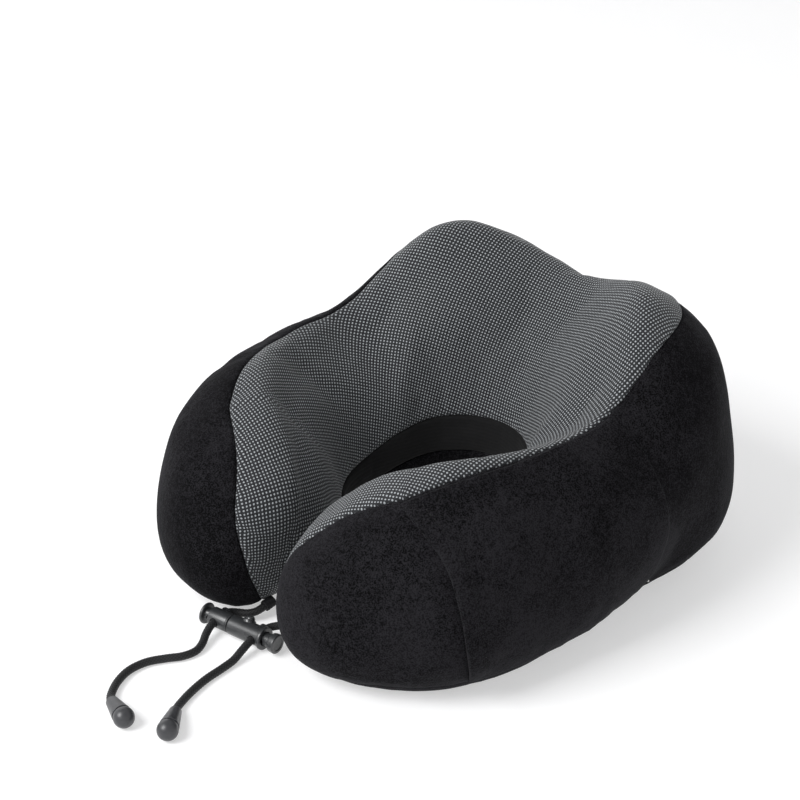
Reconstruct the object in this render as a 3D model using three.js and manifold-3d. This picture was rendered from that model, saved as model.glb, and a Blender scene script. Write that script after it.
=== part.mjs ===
// A U-shaped memory foam travel neck pillow, in millimetres, +Z up.
// The open end of the U faces -Y, the tall back faces +Y, and x = 0 is its mirror plane.
// It rests on z = 0. Two drawcords leave the tips of the arms, cross a snap-together cord lock
// in front of them and lie on the surface, each ending in a small bell with a round cap.
// Places are given from the axis of the neck opening. The whole model is then moved so that its
// origin is under the middle of the pillow's footprint.
import * as THREE from 'three';
import { mergeVertices } from 'three/addons/utils/BufferGeometryUtils.js';
import Module from 'manifold-3d';

const wasm = await Module();
wasm.setup();

// ---- driving dimensions ----

// The pillow's cross-section at six angles round the neck opening, measured from the back.
const STATION_ANGLES = [0, 40, 75, 105, 135, 165];
const STATIONS = {
  ridgeHeight: [118, 134, 101, 98, 97, 80],
  ridgeRadius: [98, 98.5, 89, 86.5, 87, 84],
  outerRadius: [137, 142, 121.5, 120, 133, 138],
  innerRadius: [44, 40, 35, 38, 43, 48],
  innerSeamHeight: [51, 50, 46, 39, 36, 33],
};
// How far the foot of the outer side stands out past the side above it.
const SPREAD_ANGLES = [0, 30, 50, 72, 100, 135, 160];
const BASE_SPREAD = [0, 0.5, 3.8, -5.5, -2.5, 2.8, 0.5];
const CAP_START = 145;          // degrees, where each arm starts to round off
const CAP_END = 175;            // degrees, the very tip of each arm
const CAP_POWER = 2.7;          // superellipse power of the rounded arm
const LOW_CAP_POWER = 3.5;      // the same for the arm's underside, which is fuller
const CAP_HEIGHT = 33;          // height of the tip point
const CAP_HOLE = 0.1;           // share of the section left open at the tip of the skins
const ARM_RADIUS = 92;          // mean radius of the arms' centreline

// Seams, as positions along the cross-section (0 = inner edge of the base, 6 = ridge).
const SEAM_ANGLES = [0, 40, 60, 90, 120, 150, 165, 171, 175];
const UPPER_SEAM = [5.3, 5.45, 5.8, 6.1, 5.95, 5.6, 5.35, 4.9, 3.8];
const NECK_SEAM = 9.0;          // lower edge of the knit panel inside the neck opening
const BASE_INNER_SEAM = 9.65;   // inner edge of the base panel
const BASE_OUTER_SEAM = 2.45;   // outer edge of the base panel, where the zip runs
const SECTION_POINTS = 11;      // control points round one cross-section
const SEAM_GAP = 0.35;          // clearance between two neighbouring panels

const FOOTPRINT_CENTRE = new THREE.Vector3(1.25, 4.95, 0);

// Layers, as depths under the outer surface.
const COVER_DEPTH = [0, 1.8];
const LINER_DEPTH = [4.0, 4.6];
const FOAM_DEPTH = 5.8;
const POCKET_DEPTH = [-2.6, -1.3];

// Pocket on the +X arm.
const POCKET_REAR = 76;         // degrees
const POCKET_MOUTH = [129.5, 130.5, 132, 134.5, 139.5, 143.5];   // degrees, from its lower end up
const POCKET_MOUTH_AT = [0, 0.24, 0.46, 0.67, 0.83, 0.92];      // shares of the pocket's height
const POCKET_TOP_CLEARANCE = 0.12;
const POCKET_BOTTOM = 2.62;

// Zip: a flat circular arc round a vertical axis, along the outer edge of the base at the back.
const ZIP_CENTRE_Y = -21.3;
const ZIP_RADIUS = 151.8;
const ZIP_HEIGHT = 8.6;
const ZIP_HALF_ANGLE = 33;      // degrees
const ZIP_TILT = [0.6, 0.8];    // direction across the tape: radial, vertical
const ZIP_OPENING = 6.3;        // half the width of the gap between the panels
const ZIP_GAP_CLOSES = [42, 53]; // degrees, where the panels come back together past the zip
const TAPE_WIDTH = 3.8;
const TAPE_THICKNESS = 0.8;
const CHAIN_WIDTH = 3.0;
const CHAIN_THICKNESS = 1.5;
const TAPE_TOP = -0.4;          // the tapes' outer face, from the chain's
const CHAIN_CLEARANCE = 0.3;
const SLIDER_LENGTH = 9;
const SLIDER_WIDTH = 6.6;
const SLIDER_TOP = 1.9;         // height of the slider's top plate over the zip face
const SLIDER_PLATE = 1.2;
const SLIDER_ANGLE = ZIP_HALF_ANGLE - 3.4;
const HINGE_HEIGHT = 1.35;      // pull tab hinge over the top plate
const TAB_LENGTH = 10;

// Cord lock: two barrels on one axis, s = 0 at the left plunger's outer face.
const LOCK_POSITION = new THREE.Vector3(-28.8, -125.8, 5.8);
const LOCK_YAW = 10;            // degrees
const LEFT_HOLE = 8.6;
const RIGHT_HOLE = 31.5;
const BUTTON_AT = 24.6;
const BUTTON_TILT = 40;         // degrees from straight up, towards the pillow
const CORD_DIAMETER = 3.8;
const CORD_HOLE = 4.6;

// Cord routes, from the arm tips to the bells.
const SURFACE_CORD_HEIGHT = 2.1;
const LEFT_LEAD = [
  [-12.4, -99.4, 7.4], [-12.5, -103.8, 6.5], [-13.6, -108.0, 5.2], [-16.0, -111.2, 4.6],
  [-18.9, -113.6, 4.7], [-20.7, -116.0, 5.3], [-21.35, -117.6, 5.65],
];
const LEFT_TAIL = [
  [-21.3, -118.8, 5.8], [-20.3, -124.3, 5.8], [-19.2, -130.2, 5.6], [-17.2, -135.0, 4.2],
  [-14.4, -139.6, 2.6], [-12.4, -145.0, SURFACE_CORD_HEIGHT], [-13.4, -151.6, SURFACE_CORD_HEIGHT],
  [-17.6, -158.6, SURFACE_CORD_HEIGHT], [-21.4, -166.4, SURFACE_CORD_HEIGHT],
  [-22.0, -175.6, SURFACE_CORD_HEIGHT], [-18.8, -184.4, SURFACE_CORD_HEIGHT],
  [-14.0, -191.2, SURFACE_CORD_HEIGHT], [-10.2, -194.5, 2.6], [-6.4, -195.8, 3.1],
  [-3.4, -196.7, 3.5],
];
const RIGHT_CORD = [
  [12.4, -99.4, 7.4], [8.6, -103.4, 6.9], [4.2, -108.0, 6.3], [1.5, -112.2, 5.9], [1.25, -114.8, 5.8],
  [2.2, -120.3, 5.8], [3.2, -125.8, 5.7], [4.6, -132.2, 4.2], [5.6, -137.6, 2.6],
  [6.2, -144.0, SURFACE_CORD_HEIGHT], [7.4, -155.0, SURFACE_CORD_HEIGHT],
  [9.8, -165.0, SURFACE_CORD_HEIGHT], [12.8, -173.4, SURFACE_CORD_HEIGHT],
  [15.3, -177.9, 2.6], [17.9, -180.9, 3.1], [19.9, -183.4, 3.5],
];

// Bells: start of each bell, and the centre of its round cap.
const BELLS = {
  left: { start: [-8.4, -195.2, 2.9], ball: [6.6, -199.6, 4.9] },
  right: { start: [16.6, -179.4, 2.9], ball: [26.6, -191.4, 4.9] },
};
const BALL_RADIUS = 4.8;

// ---- materials ----

const finish = (color, roughness, metalness = 0) =>
  new THREE.MeshStandardMaterial({ color, roughness, metalness });
const VELOUR = finish(0x18181b, 0.95);
const KNIT = finish(0x54595e, 0.9);
const BLACK_KNIT = finish(0x0d0d0e, 0.9);
const FOAM = finish(0xe9e4d2, 0.95);
const LINER = finish(0xd8d8d6, 0.9);
const TAPE = finish(0x111113, 0.9);
const PLASTIC = finish(0x232427, 0.35);
const PLASTIC_GREY = finish(0x54575b, 0.45);
const CORD = finish(0x1d1e20, 0.8);
const STEEL = finish(0xb0b3b6, 0.3, 1);

// ---- the pillow's surface ----

// A smooth curve through values at given angles, level at the first one.
function smooth(angles, values, angle) {
  const last = angles.length - 1;
  const x = Math.min(Math.max(angle, angles[0]), angles[last]);
  let i = 0;
  while (i < last - 1 && x > angles[i + 1]) i += 1;
  const slope = (j) => {
    if (j === 0) return 0;
    const k = Math.min(j + 1, last);
    return (values[k] - values[j - 1]) / (angles[k] - angles[j - 1]);
  };
  const span = angles[i + 1] - angles[i];
  const t = (x - angles[i]) / span;
  const a = 2 * t ** 3 - 3 * t ** 2 + 1;
  const b = t ** 3 - 2 * t ** 2 + t;
  const c = -2 * t ** 3 + 3 * t ** 2;
  const d = t ** 3 - t ** 2;
  return a * values[i] + b * span * slope(i) + c * values[i + 1] + d * span * slope(i + 1);
}

// Control points of the cross-section at an angle, as [radius, height].
function sectionControls(angle) {
  const at = {};
  for (const [name, values] of Object.entries(STATIONS)) at[name] = smooth(STATION_ANGLES, values, angle);
  const { ridgeHeight: top, ridgeRadius: ridge, outerRadius: outer, innerRadius: inner } = at;
  const seam = at.innerSeamHeight;
  const width = outer - inner;
  const slope = ridge - inner;
  const spread = smooth(SPREAD_ANGLES, BASE_SPREAD, angle);
  return [
    [inner + 0.16 * width, 0], [inner + 0.5 * width, 0], [inner + 0.79 * width + spread, 0],
    [outer + spread, 0.22 * top], [outer, 0.55 * top], [outer - 0.285 * (outer - ridge), 0.825 * top],
    [ridge, top],
    [ridge - 0.36 * slope, top - 0.24 * (top - seam)],
    [ridge - 0.72 * slope, top - 0.56 * (top - seam)],
    [inner + 0.03 * width, seam], [inner, 0.45 * seam],
  ];
}

// A point of the closed curve through the control points (uniform Catmull-Rom).
function sectionPoint(controls, t) {
  const wrapped = ((t % SECTION_POINTS) + SECTION_POINTS) % SECTION_POINTS;
  const i = Math.floor(wrapped);
  const u = wrapped - i;
  const pick = (k) => controls[(i + k + SECTION_POINTS) % SECTION_POINTS];
  const [p, q, r, s] = [pick(-1), pick(0), pick(1), pick(2)];
  return [0, 1].map((k) => 0.5 * (2 * q[k] + (r[k] - p[k]) * u
    + (2 * p[k] - 5 * q[k] + 4 * r[k] - s[k]) * u ** 2
    + (3 * q[k] - p[k] - 3 * r[k] + s[k]) * u ** 3));
}

// Rows along the pillow: from the left tip over the back to the right tip. Each has the signed
// share of the body (before the rounded ends) and the angle of the rounding, both 0 at the back.
function bodyRows(bodySteps, capSteps, hole) {
  const capAngle = Math.acos(hole ** (CAP_POWER / 2));
  const half = [];
  for (let i = 0; i <= bodySteps; i += 1) half.push({ share: i / bodySteps, cap: 0 });
  for (let i = 1; i <= capSteps; i += 1) half.push({ share: 1, cap: capAngle * (i / capSteps) });
  const left = half.slice(1).reverse().map((row) => ({ ...row, side: -1 }));
  return [...left, ...half.map((row) => ({ ...row, side: 1 }))];
}

// The angle of a row at a depth under the surface, and how much its section has shrunk.
function rowAngle(row, depth) {
  const end = CAP_END - THREE.MathUtils.radToDeg(depth / ARM_RADIUS);
  const reach = Math.sin(row.cap) ** (2 / CAP_POWER);
  return {
    angle: CAP_START * row.share + (end - CAP_START) * reach,
    scale: Math.cos(row.cap) ** (2 / CAP_POWER),
    lowScale: Math.max(1 - reach ** LOW_CAP_POWER, 0) ** (1 / LOW_CAP_POWER),
  };
}

// The point of the pillow at a row, a position round the section, and a depth under the surface.
function surfacePoint(row, t, depth) {
  const { angle, scale, lowScale } = rowAngle(row, depth);
  const controls = sectionControls(angle);
  const [r, z] = sectionPoint(controls, t);
  const step = 0.01;
  const before = sectionPoint(controls, t - step);
  const after = sectionPoint(controls, t + step);
  const along = new THREE.Vector2(after[0] - before[0], after[1] - before[1]).normalize();
  const inner = controls[SECTION_POINTS - 1][0];
  const outer = controls[4][0];
  const middle = 0.5 * (inner + outer);
  const radius = middle + (r - along.y * depth - middle) * scale;
  const rise = Math.max(z + along.x * depth, depth) - CAP_HEIGHT;
  const theta = THREE.MathUtils.degToRad(angle) * row.side;
  return new THREE.Vector3(
    radius * Math.sin(theta),
    radius * Math.cos(theta),
    CAP_HEIGHT + rise * (rise < 0 ? lowScale : scale),
  );
}

// How fast the section runs at t, in mm per unit, to turn a clearance in mm into a step of t.
function sectionSpeed(row, t) {
  const controls = sectionControls(rowAngle(row, 0).angle);
  const step = 0.05;
  const a = sectionPoint(controls, t - step);
  const b = sectionPoint(controls, t + step);
  return Math.hypot(b[0] - a[0], b[1] - a[1]) / (2 * step) * rowAngle(row, 0).scale;
}

// ---- mesh helpers ----

function geometryOf(vertices, triangles) {
  const geometry = new THREE.BufferGeometry();
  const numbers = vertices.flatMap((v) => [v.x, v.y, v.z]);
  geometry.setAttribute('position', new THREE.Float32BufferAttribute(numbers, 3));
  geometry.setIndex(triangles.flat());
  return geometry;
}

// A closed thin shell between two grids of points of the same size, front facing out.
function shellGeometry(front, back) {
  const rows = front.length;
  const columns = front[0].length;
  const vertices = [...front.flat(), ...back.flat()];
  const at = (i, j, layer) => layer * rows * columns + i * columns + j;
  const triangles = [];
  const quad = (a, b, c, d) => triangles.push([a, b, c], [a, c, d]);
  const lastRow = rows - 1;
  const lastColumn = columns - 1;
  for (let i = 0; i < lastRow; i += 1) {
    for (let j = 0; j < lastColumn; j += 1) {
      quad(at(i, j, 0), at(i, j + 1, 0), at(i + 1, j + 1, 0), at(i + 1, j, 0));
      quad(at(i, j, 1), at(i + 1, j, 1), at(i + 1, j + 1, 1), at(i, j + 1, 1));
    }
    quad(at(i, 0, 0), at(i + 1, 0, 0), at(i + 1, 0, 1), at(i, 0, 1));
    quad(at(i, lastColumn, 0), at(i, lastColumn, 1), at(i + 1, lastColumn, 1), at(i + 1, lastColumn, 0));
  }
  for (let j = 0; j < lastColumn; j += 1) {
    quad(at(0, j, 0), at(0, j, 1), at(0, j + 1, 1), at(0, j + 1, 0));
    quad(at(lastRow, j, 0), at(lastRow, j + 1, 0), at(lastRow, j + 1, 1), at(lastRow, j, 1));
  }
  return geometryOf(vertices, triangles);
}

// A panel of the cover between two seams, each a function of the row.
function panelGeometry(rows, columns, from, to, depths) {
  const shares = Array.from({ length: columns + 1 }, (_, j) => j / columns);
  const grid = (depth) => rows.map((row) => {
    const [a, b] = [from(row), to(row)];
    return shares.map((share) => surfacePoint(row, a + (b - a) * share, depth));
  });
  return shellGeometry(grid(depths[0]), grid(depths[1]));
}

function solidOf(geometry) {
  const bare = geometry.clone();
  bare.deleteAttribute('normal');
  bare.deleteAttribute('uv');
  const merged = mergeVertices(bare, 1e-4);
  return new wasm.Manifold(new wasm.Mesh({
    numProp: 3,
    vertProperties: Float32Array.from(merged.attributes.position.array),
    triVerts: Uint32Array.from(merged.index.array),
  }));
}

function geometryFrom(solid) {
  const { vertProperties, triVerts } = solid.getMesh();
  const geometry = new THREE.BufferGeometry();
  geometry.setAttribute('position', new THREE.Float32BufferAttribute(Array.from(vertProperties), 3));
  geometry.setIndex(Array.from(triVerts));
  return geometry;
}

// base, with each of adds joined to it and then each of cuts taken out.
function carve(base, adds, cuts) {
  let solid = solidOf(base);
  for (const piece of adds) solid = solid.add(solidOf(piece));
  for (const piece of cuts) solid = solid.subtract(solidOf(piece));
  return geometryFrom(solid);
}

function box(x0, x1, y0, y1, z0, z1) {
  const geometry = new THREE.BoxGeometry(x1 - x0, y1 - y0, z1 - z0);
  return geometry.translate((x0 + x1) / 2, (y0 + y1) / 2, (z0 + z1) / 2);
}

// A turned solid on the X axis from [x, radius] points; the first and last are joined to the axis.
function turned(points, segments = 20) {
  const first = points[0][0];
  const last = points[points.length - 1][0];
  const profile = [[first, 0], ...points, [last, 0]].map(([x, r]) => new THREE.Vector2(r, x));
  return new THREE.LatheGeometry(profile, segments).rotateZ(-Math.PI / 2);
}

function rod(x0, x1, radius, segments = 20) {
  return turned([[x0, radius], [x1, radius]], segments);
}

// A rod along local Y through (x, z).
function crossRod(x, z, y0, y1, radius, segments = 16) {
  const geometry = new THREE.CylinderGeometry(radius, radius, y1 - y0, segments);
  return geometry.translate(x, (y0 + y1) / 2, z);
}

// A tube of round section along a smooth curve through points.
function tube(points, radius, steps, sides = 8) {
  const curve = new THREE.CatmullRomCurve3(points, false, 'centripetal');
  const ring = Array.from({ length: sides }, (_, i) => {
    const angle = (i / sides) * 2 * Math.PI;
    return new THREE.Vector2(radius * Math.cos(angle), radius * Math.sin(angle));
  });
  return new THREE.ExtrudeGeometry(new THREE.Shape(ring), { steps, extrudePath: curve });
}

const model = new THREE.Group();

function addMesh(parent, name, geometry, material) {
  const mesh = new THREE.Mesh(geometry, material);
  mesh.name = name;
  parent.add(mesh);
  return mesh;
}

// ---- foam, liner and cover ----

const BODY_STEPS = 12;
const CAP_STEPS = 5;
const SKIN_ROWS = bodyRows(BODY_STEPS, CAP_STEPS, CAP_HOLE);
const RING_COLUMNS = 20;

function ringOf(row, depth) {
  const step = SECTION_POINTS / RING_COLUMNS;
  return Array.from({ length: RING_COLUMNS }, (_, j) => surfacePoint(row, j * step, depth));
}

// The core: rings from tip to tip, closed by a fan at each end.
function foamCore() {
  const rings = SKIN_ROWS.map((row) => ringOf(row, FOAM_DEPTH));
  const middles = [rings[0], rings[rings.length - 1]].map((ring) => {
    const sum = ring.reduce((total, p) => total.add(p), new THREE.Vector3());
    return sum.divideScalar(RING_COLUMNS);
  });
  const vertices = [...rings.flat(), ...middles];
  const triangles = [];
  const last = rings.length - 1;
  for (let j = 0; j < RING_COLUMNS; j += 1) {
    const k = (j + 1) % RING_COLUMNS;
    for (let i = 0; i < last; i += 1) {
      const here = i * RING_COLUMNS;
      const next = here + RING_COLUMNS;
      triangles.push([here + j, here + k, next + k], [here + j, next + k, next + j]);
    }
    triangles.push([rings.length * RING_COLUMNS, k, j]);
    triangles.push([rings.length * RING_COLUMNS + 1, last * RING_COLUMNS + j, last * RING_COLUMNS + k]);
  }
  return geometryOf(vertices, triangles);
}

// The liner: a thin sleeve round the core, open at both tips.
function liner() {
  const layers = LINER_DEPTH.map((depth) => SKIN_ROWS.map((row) => ringOf(row, depth)));
  const rows = SKIN_ROWS.length;
  const at = (i, j, layer) => layer * rows * RING_COLUMNS + i * RING_COLUMNS + (j % RING_COLUMNS);
  const triangles = [];
  const quad = (a, b, c, d) => triangles.push([a, b, c], [a, c, d]);
  for (let j = 0; j < RING_COLUMNS; j += 1) {
    for (let i = 0; i < rows - 1; i += 1) {
      quad(at(i, j, 0), at(i, j + 1, 0), at(i + 1, j + 1, 0), at(i + 1, j, 0));
      quad(at(i, j, 1), at(i + 1, j, 1), at(i + 1, j + 1, 1), at(i, j + 1, 1));
    }
    quad(at(0, j, 0), at(0, j, 1), at(0, j + 1, 1), at(0, j + 1, 0));
    quad(at(rows - 1, j, 0), at(rows - 1, j + 1, 0), at(rows - 1, j + 1, 1), at(rows - 1, j, 1));
  }
  return geometryOf([...layers[0].flat(2), ...layers[1].flat(2)], triangles);
}

// Seams shifted by half the clearance, to one side or the other.
function seam(position, sign, clearance = () => SEAM_GAP / 2) {
  return (row) => {
    const t = position(row);
    return t + sign * clearance(row) / sectionSpeed(row, t);
  };
}

const upperSeam = (row) => smooth(SEAM_ANGLES, UPPER_SEAM, rowAngle(row, 0).angle);
const fixedSeam = (t) => () => t;

// The panels part at the zip: a wide gap at the back that closes just past its ends.
function zipGap(row) {
  const angle = rowAngle(row, 0).angle;
  const closing = THREE.MathUtils.smoothstep(angle, ...ZIP_GAP_CLOSES);
  return SEAM_GAP / 2 + (ZIP_OPENING - SEAM_GAP / 2) * (1 - closing);
}

// A point of the pocket: shares of the way from its rear seam to its mouth, and up it.
function pocketPoint(across, up, depth) {
  const mouth = smooth(POCKET_MOUTH_AT, POCKET_MOUTH, up);
  const angle = POCKET_REAR + (mouth - POCKET_REAR) * across;
  const top = smooth(SEAM_ANGLES, UPPER_SEAM, angle) - POCKET_TOP_CLEARANCE;
  const row = { share: angle / CAP_START, cap: 0, side: 1 };
  return surfacePoint(row, POCKET_BOTTOM + (top - POCKET_BOTTOM) * up, depth);
}

function pocketPanel() {
  const steps = 8;
  const shares = Array.from({ length: steps + 1 }, (_, i) => i / steps);
  const grid = (depth) => shares.map((across) => shares.map((up) => pocketPoint(across, up, depth)));
  return shellGeometry(grid(POCKET_DEPTH[0]), grid(POCKET_DEPTH[1]));
}

function addPillow(parent) {
  addMesh(parent, 'foam_core', foamCore(), FOAM);
  addMesh(parent, 'inner_liner', liner(), LINER);
  const zipSeam = fixedSeam(BASE_OUTER_SEAM);
  const neckSeam = fixedSeam(NECK_SEAM);
  const curlSeam = fixedSeam(BASE_INNER_SEAM);
  const curlSeamBefore = fixedSeam(BASE_INNER_SEAM - SECTION_POINTS);
  const panel = (columns, from, to) => panelGeometry(SKIN_ROWS, columns, from, to, COVER_DEPTH);
  addMesh(parent, 'cover_side_panel', panel(8, seam(zipSeam, 1, zipGap), seam(upperSeam, -1)), VELOUR);
  addMesh(parent, 'cover_top_panel', panel(9, seam(upperSeam, 1), seam(neckSeam, -1)), KNIT);
  addMesh(parent, 'cover_neck_band', panel(2, seam(neckSeam, 1), seam(curlSeam, -1)), BLACK_KNIT);
  addMesh(parent, 'cover_base_panel', panel(8, seam(curlSeamBefore, 1), seam(zipSeam, -1, zipGap)), VELOUR);
  addMesh(parent, 'pocket_panel', pocketPanel(), VELOUR);
}

// ---- zip ----

// A point of the zip: angle along its arc, distance across the tape, and height above its face.
function zipPoint(angle, across, above) {
  const [out, up] = ZIP_TILT;
  const radius = ZIP_RADIUS + across * out + above * up;
  const theta = THREE.MathUtils.degToRad(angle);
  return new THREE.Vector3(
    radius * Math.sin(theta),
    ZIP_CENTRE_Y + radius * Math.cos(theta),
    ZIP_HEIGHT + across * up - above * out,
  );
}

function zipStrip(from, to, steps, low, high, above, below) {
  const grid = (height) => Array.from({ length: steps + 1 }, (_, i) => {
    const angle = from + (to - from) * (i / steps);
    return [zipPoint(angle, low, height), zipPoint(angle, high, height)];
  });
  return shellGeometry(grid(above), grid(below));
}

// Places a piece made flat in its own frame (x along the zip, y across, z out) at an angle.
function placeOnZip(geometry, angle) {
  const origin = zipPoint(angle, 0, 0);
  const across = zipPoint(angle, 1, 0).sub(origin);
  const above = zipPoint(angle, 0, 1).sub(origin);
  const along = new THREE.Vector3().crossVectors(across, above);
  const matrix = new THREE.Matrix4().makeBasis(along, across, above).setPosition(origin);
  return geometry.applyMatrix4(matrix);
}

function sliderGeometry() {
  const half = SLIDER_LENGTH / 2;
  const side = SLIDER_WIDTH / 2;
  const plateBottom = SLIDER_TOP - SLIDER_PLATE;
  const chainSide = CHAIN_WIDTH / 2 + 0.35;
  const plate = box(-half, half, -side, side, plateBottom, SLIDER_TOP);
  const flanges = [-1, 1].map((sign) => {
    const [a, b] = [sign * chainSide, sign * side].sort((p, q) => p - q);
    return box(-half, half, a, b, -0.1, plateBottom + 0.1);
  });
  const arch = box(-2.1, 2.1, -0.6, 0.6, SLIDER_TOP - 0.1, SLIDER_TOP + 3.1);
  const window = box(-1.15, 1.15, -2, 2, SLIDER_TOP + 0.35, SLIDER_TOP + 2.35);
  return carve(plate, [...flanges, arch], [window]);
}

function tabGeometry() {
  const middle = SLIDER_TOP + HINGE_HEIGHT;
  const half = 0.45;
  const plate = box(-TAB_LENGTH, half, -2.3, 2.3, middle - half, middle + half);
  const window = box(-3.4, -half, -1.1, 1.1, middle - 2, middle + 2);
  const grip = box(-TAB_LENGTH + 1.2, -TAB_LENGTH + 4.4, -1.1, 1.1, middle - 2, middle + 2);
  return carve(plate, [], [window, grip]);
}

function addZip(parent) {
  const edge = CHAIN_WIDTH / 2;
  const inside = edge + CHAIN_CLEARANCE;
  const outside = inside + TAPE_WIDTH;
  const end = ZIP_HALF_ANGLE;
  const chainEnd = end - 1.4;
  const stopAt = end - 0.9;
  const steps = 16;
  const tape = (low, high) => zipStrip(-end, end, steps, low, high, TAPE_TOP, TAPE_TOP - TAPE_THICKNESS);
  const stop = () => box(-0.9, 0.9, -edge, edge, -CHAIN_THICKNESS, 0.5);
  addMesh(parent, 'zip_tape_upper', tape(inside, outside), TAPE);
  addMesh(parent, 'zip_tape_lower', tape(-outside, -inside), TAPE);
  const chain = zipStrip(-chainEnd, chainEnd, steps, -edge, edge, 0, -CHAIN_THICKNESS);
  addMesh(parent, 'zip_chain', chain, PLASTIC);
  addMesh(parent, 'zip_top_stop', placeOnZip(stop(), stopAt), STEEL);
  addMesh(parent, 'zip_bottom_stop', placeOnZip(stop(), -stopAt), STEEL);
  addMesh(parent, 'zip_slider', placeOnZip(sliderGeometry(), SLIDER_ANGLE), STEEL);
  addMesh(parent, 'zip_pull_tab', placeOnZip(tabGeometry(), SLIDER_ANGLE), STEEL);
}

// ---- cord lock ----

// A slot through a plunger along local Y, for the cord and the plunger's travel.
function cordSlot(from, to) {
  const half = CORD_HOLE / 2;
  return box(from, to, -10, 10, -half, half);
}

// A helical spring on the lock's axis.
function springGeometry(from, to, radius, wire, turns) {
  const pointsPerTurn = 10;
  const count = turns * pointsPerTurn;
  const points = Array.from({ length: count + 1 }, (_, i) => {
    const angle = (i / pointsPerTurn) * 2 * Math.PI;
    const along = from + (to - from) * (i / count);
    return new THREE.Vector3(along, radius * Math.cos(angle), radius * Math.sin(angle));
  });
  return tube(points, wire / 2, count, 5);
}

function leftBarrel() {
  const body = turned([[4.4, 4.2], [4.7, 4.55], [15.6, 4.55], [15.9, 4.3]]);
  const spigot = rod(15.5, 20.6, 2.6);
  const rim = crossRod(LEFT_HOLE, 0, 2, 5.5, 3.2);
  const bore = rod(4, 15.0, 3.3);
  const cordHole = crossRod(LEFT_HOLE, 0, -10, 10, CORD_HOLE / 2);
  return carve(body, [spigot, rim], [bore, cordHole]);
}

function leftPlunger() {
  const head = turned([[0, 4.6], [0.4, 5.2], [1.2, 5.2], [1.6, 4.8]]);
  const shaft = rod(1.2, 12.0, 3.0);
  return carve(head, [shaft], [cordSlot(2.9, LEFT_HOLE + CORD_DIAMETER / 2 + 0.3)]);
}

function rightBarrel() {
  const body = turned([[16.4, 4.5], [16.7, 4.8], [34.6, 4.8], [34.8, 5.5], [36.0, 5.5], [36.2, 5.2]]);
  const rim = crossRod(RIGHT_HOLE, 0, 2, 5.6, 3.2);
  const socket = rod(16, 21.2, 2.95);
  const springRoom = rod(22.6, 26.5, 2.4);
  const bore = rod(26.2, 40, 3.55);
  const cordHole = crossRod(RIGHT_HOLE, 0, -10, 10, CORD_HOLE / 2);
  return carve(body, [rim], [socket, springRoom, bore, cordHole, buttonRod(2.9, 10, 2.0)]);
}

// A rod from the lock's axis outwards, tilted back towards the pillow.
function buttonRod(from, to, radius) {
  const geometry = new THREE.CylinderGeometry(radius, radius, to - from, 20);
  geometry.translate(0, (from + to) / 2, 0).rotateX(THREE.MathUtils.degToRad(90 - BUTTON_TILT));
  return geometry.translate(BUTTON_AT, 0, 0);
}

function releaseButton() {
  const profile = [[0, 4.1], [1.65, 4.1], [1.65, 6.2], [1.2, 6.9], [0.6, 7.2], [0, 7.3]];
  const points = profile.map(([r, y]) => new THREE.Vector2(r, y));
  const geometry = new THREE.LatheGeometry(points, 20);
  geometry.rotateX(THREE.MathUtils.degToRad(90 - BUTTON_TILT));
  return geometry.translate(BUTTON_AT, 0, 0);
}

function rightPlunger() {
  const shaft = rod(28.7, 40.4, 3.25);
  const head = turned([[39.6, 3.7], [40.4, 4.5], [43.2, 4.75], [43.6, 4.4]]);
  return carve(shaft, [head], [cordSlot(RIGHT_HOLE - CORD_DIAMETER / 2 - 0.3, 37.0)]);
}

function addCordLock(parent) {
  const lock = new THREE.Group();
  lock.position.copy(LOCK_POSITION);
  lock.rotation.z = THREE.MathUtils.degToRad(LOCK_YAW);
  parent.add(lock);
  addMesh(lock, 'left_barrel', leftBarrel(), PLASTIC);
  addMesh(lock, 'left_plunger', leftPlunger(), PLASTIC);
  addMesh(lock, 'left_spring', springGeometry(12.5, 14.5, 2.2, 0.45, 2), STEEL);
  addMesh(lock, 'right_barrel', rightBarrel(), PLASTIC);
  addMesh(lock, 'right_plunger', rightPlunger(), PLASTIC);
  addMesh(lock, 'right_spring', springGeometry(23.2, 28.1, 1.8, 0.45, 4), STEEL);
  addMesh(lock, 'release_button', releaseButton(), PLASTIC);
}

// ---- cords and bells ----

const vectors = (points) => points.map((p) => new THREE.Vector3(...p));

// A piece made along +X from the origin, placed from start towards aim.
function placeAlong(geometry, start, aim) {
  const from = new THREE.Vector3(...start);
  const direction = new THREE.Vector3(...aim).sub(from).normalize();
  const turn = new THREE.Quaternion().setFromUnitVectors(new THREE.Vector3(1, 0, 0), direction);
  const matrix = new THREE.Matrix4().makeRotationFromQuaternion(turn).setPosition(from);
  return geometry.applyMatrix4(matrix);
}

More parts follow.
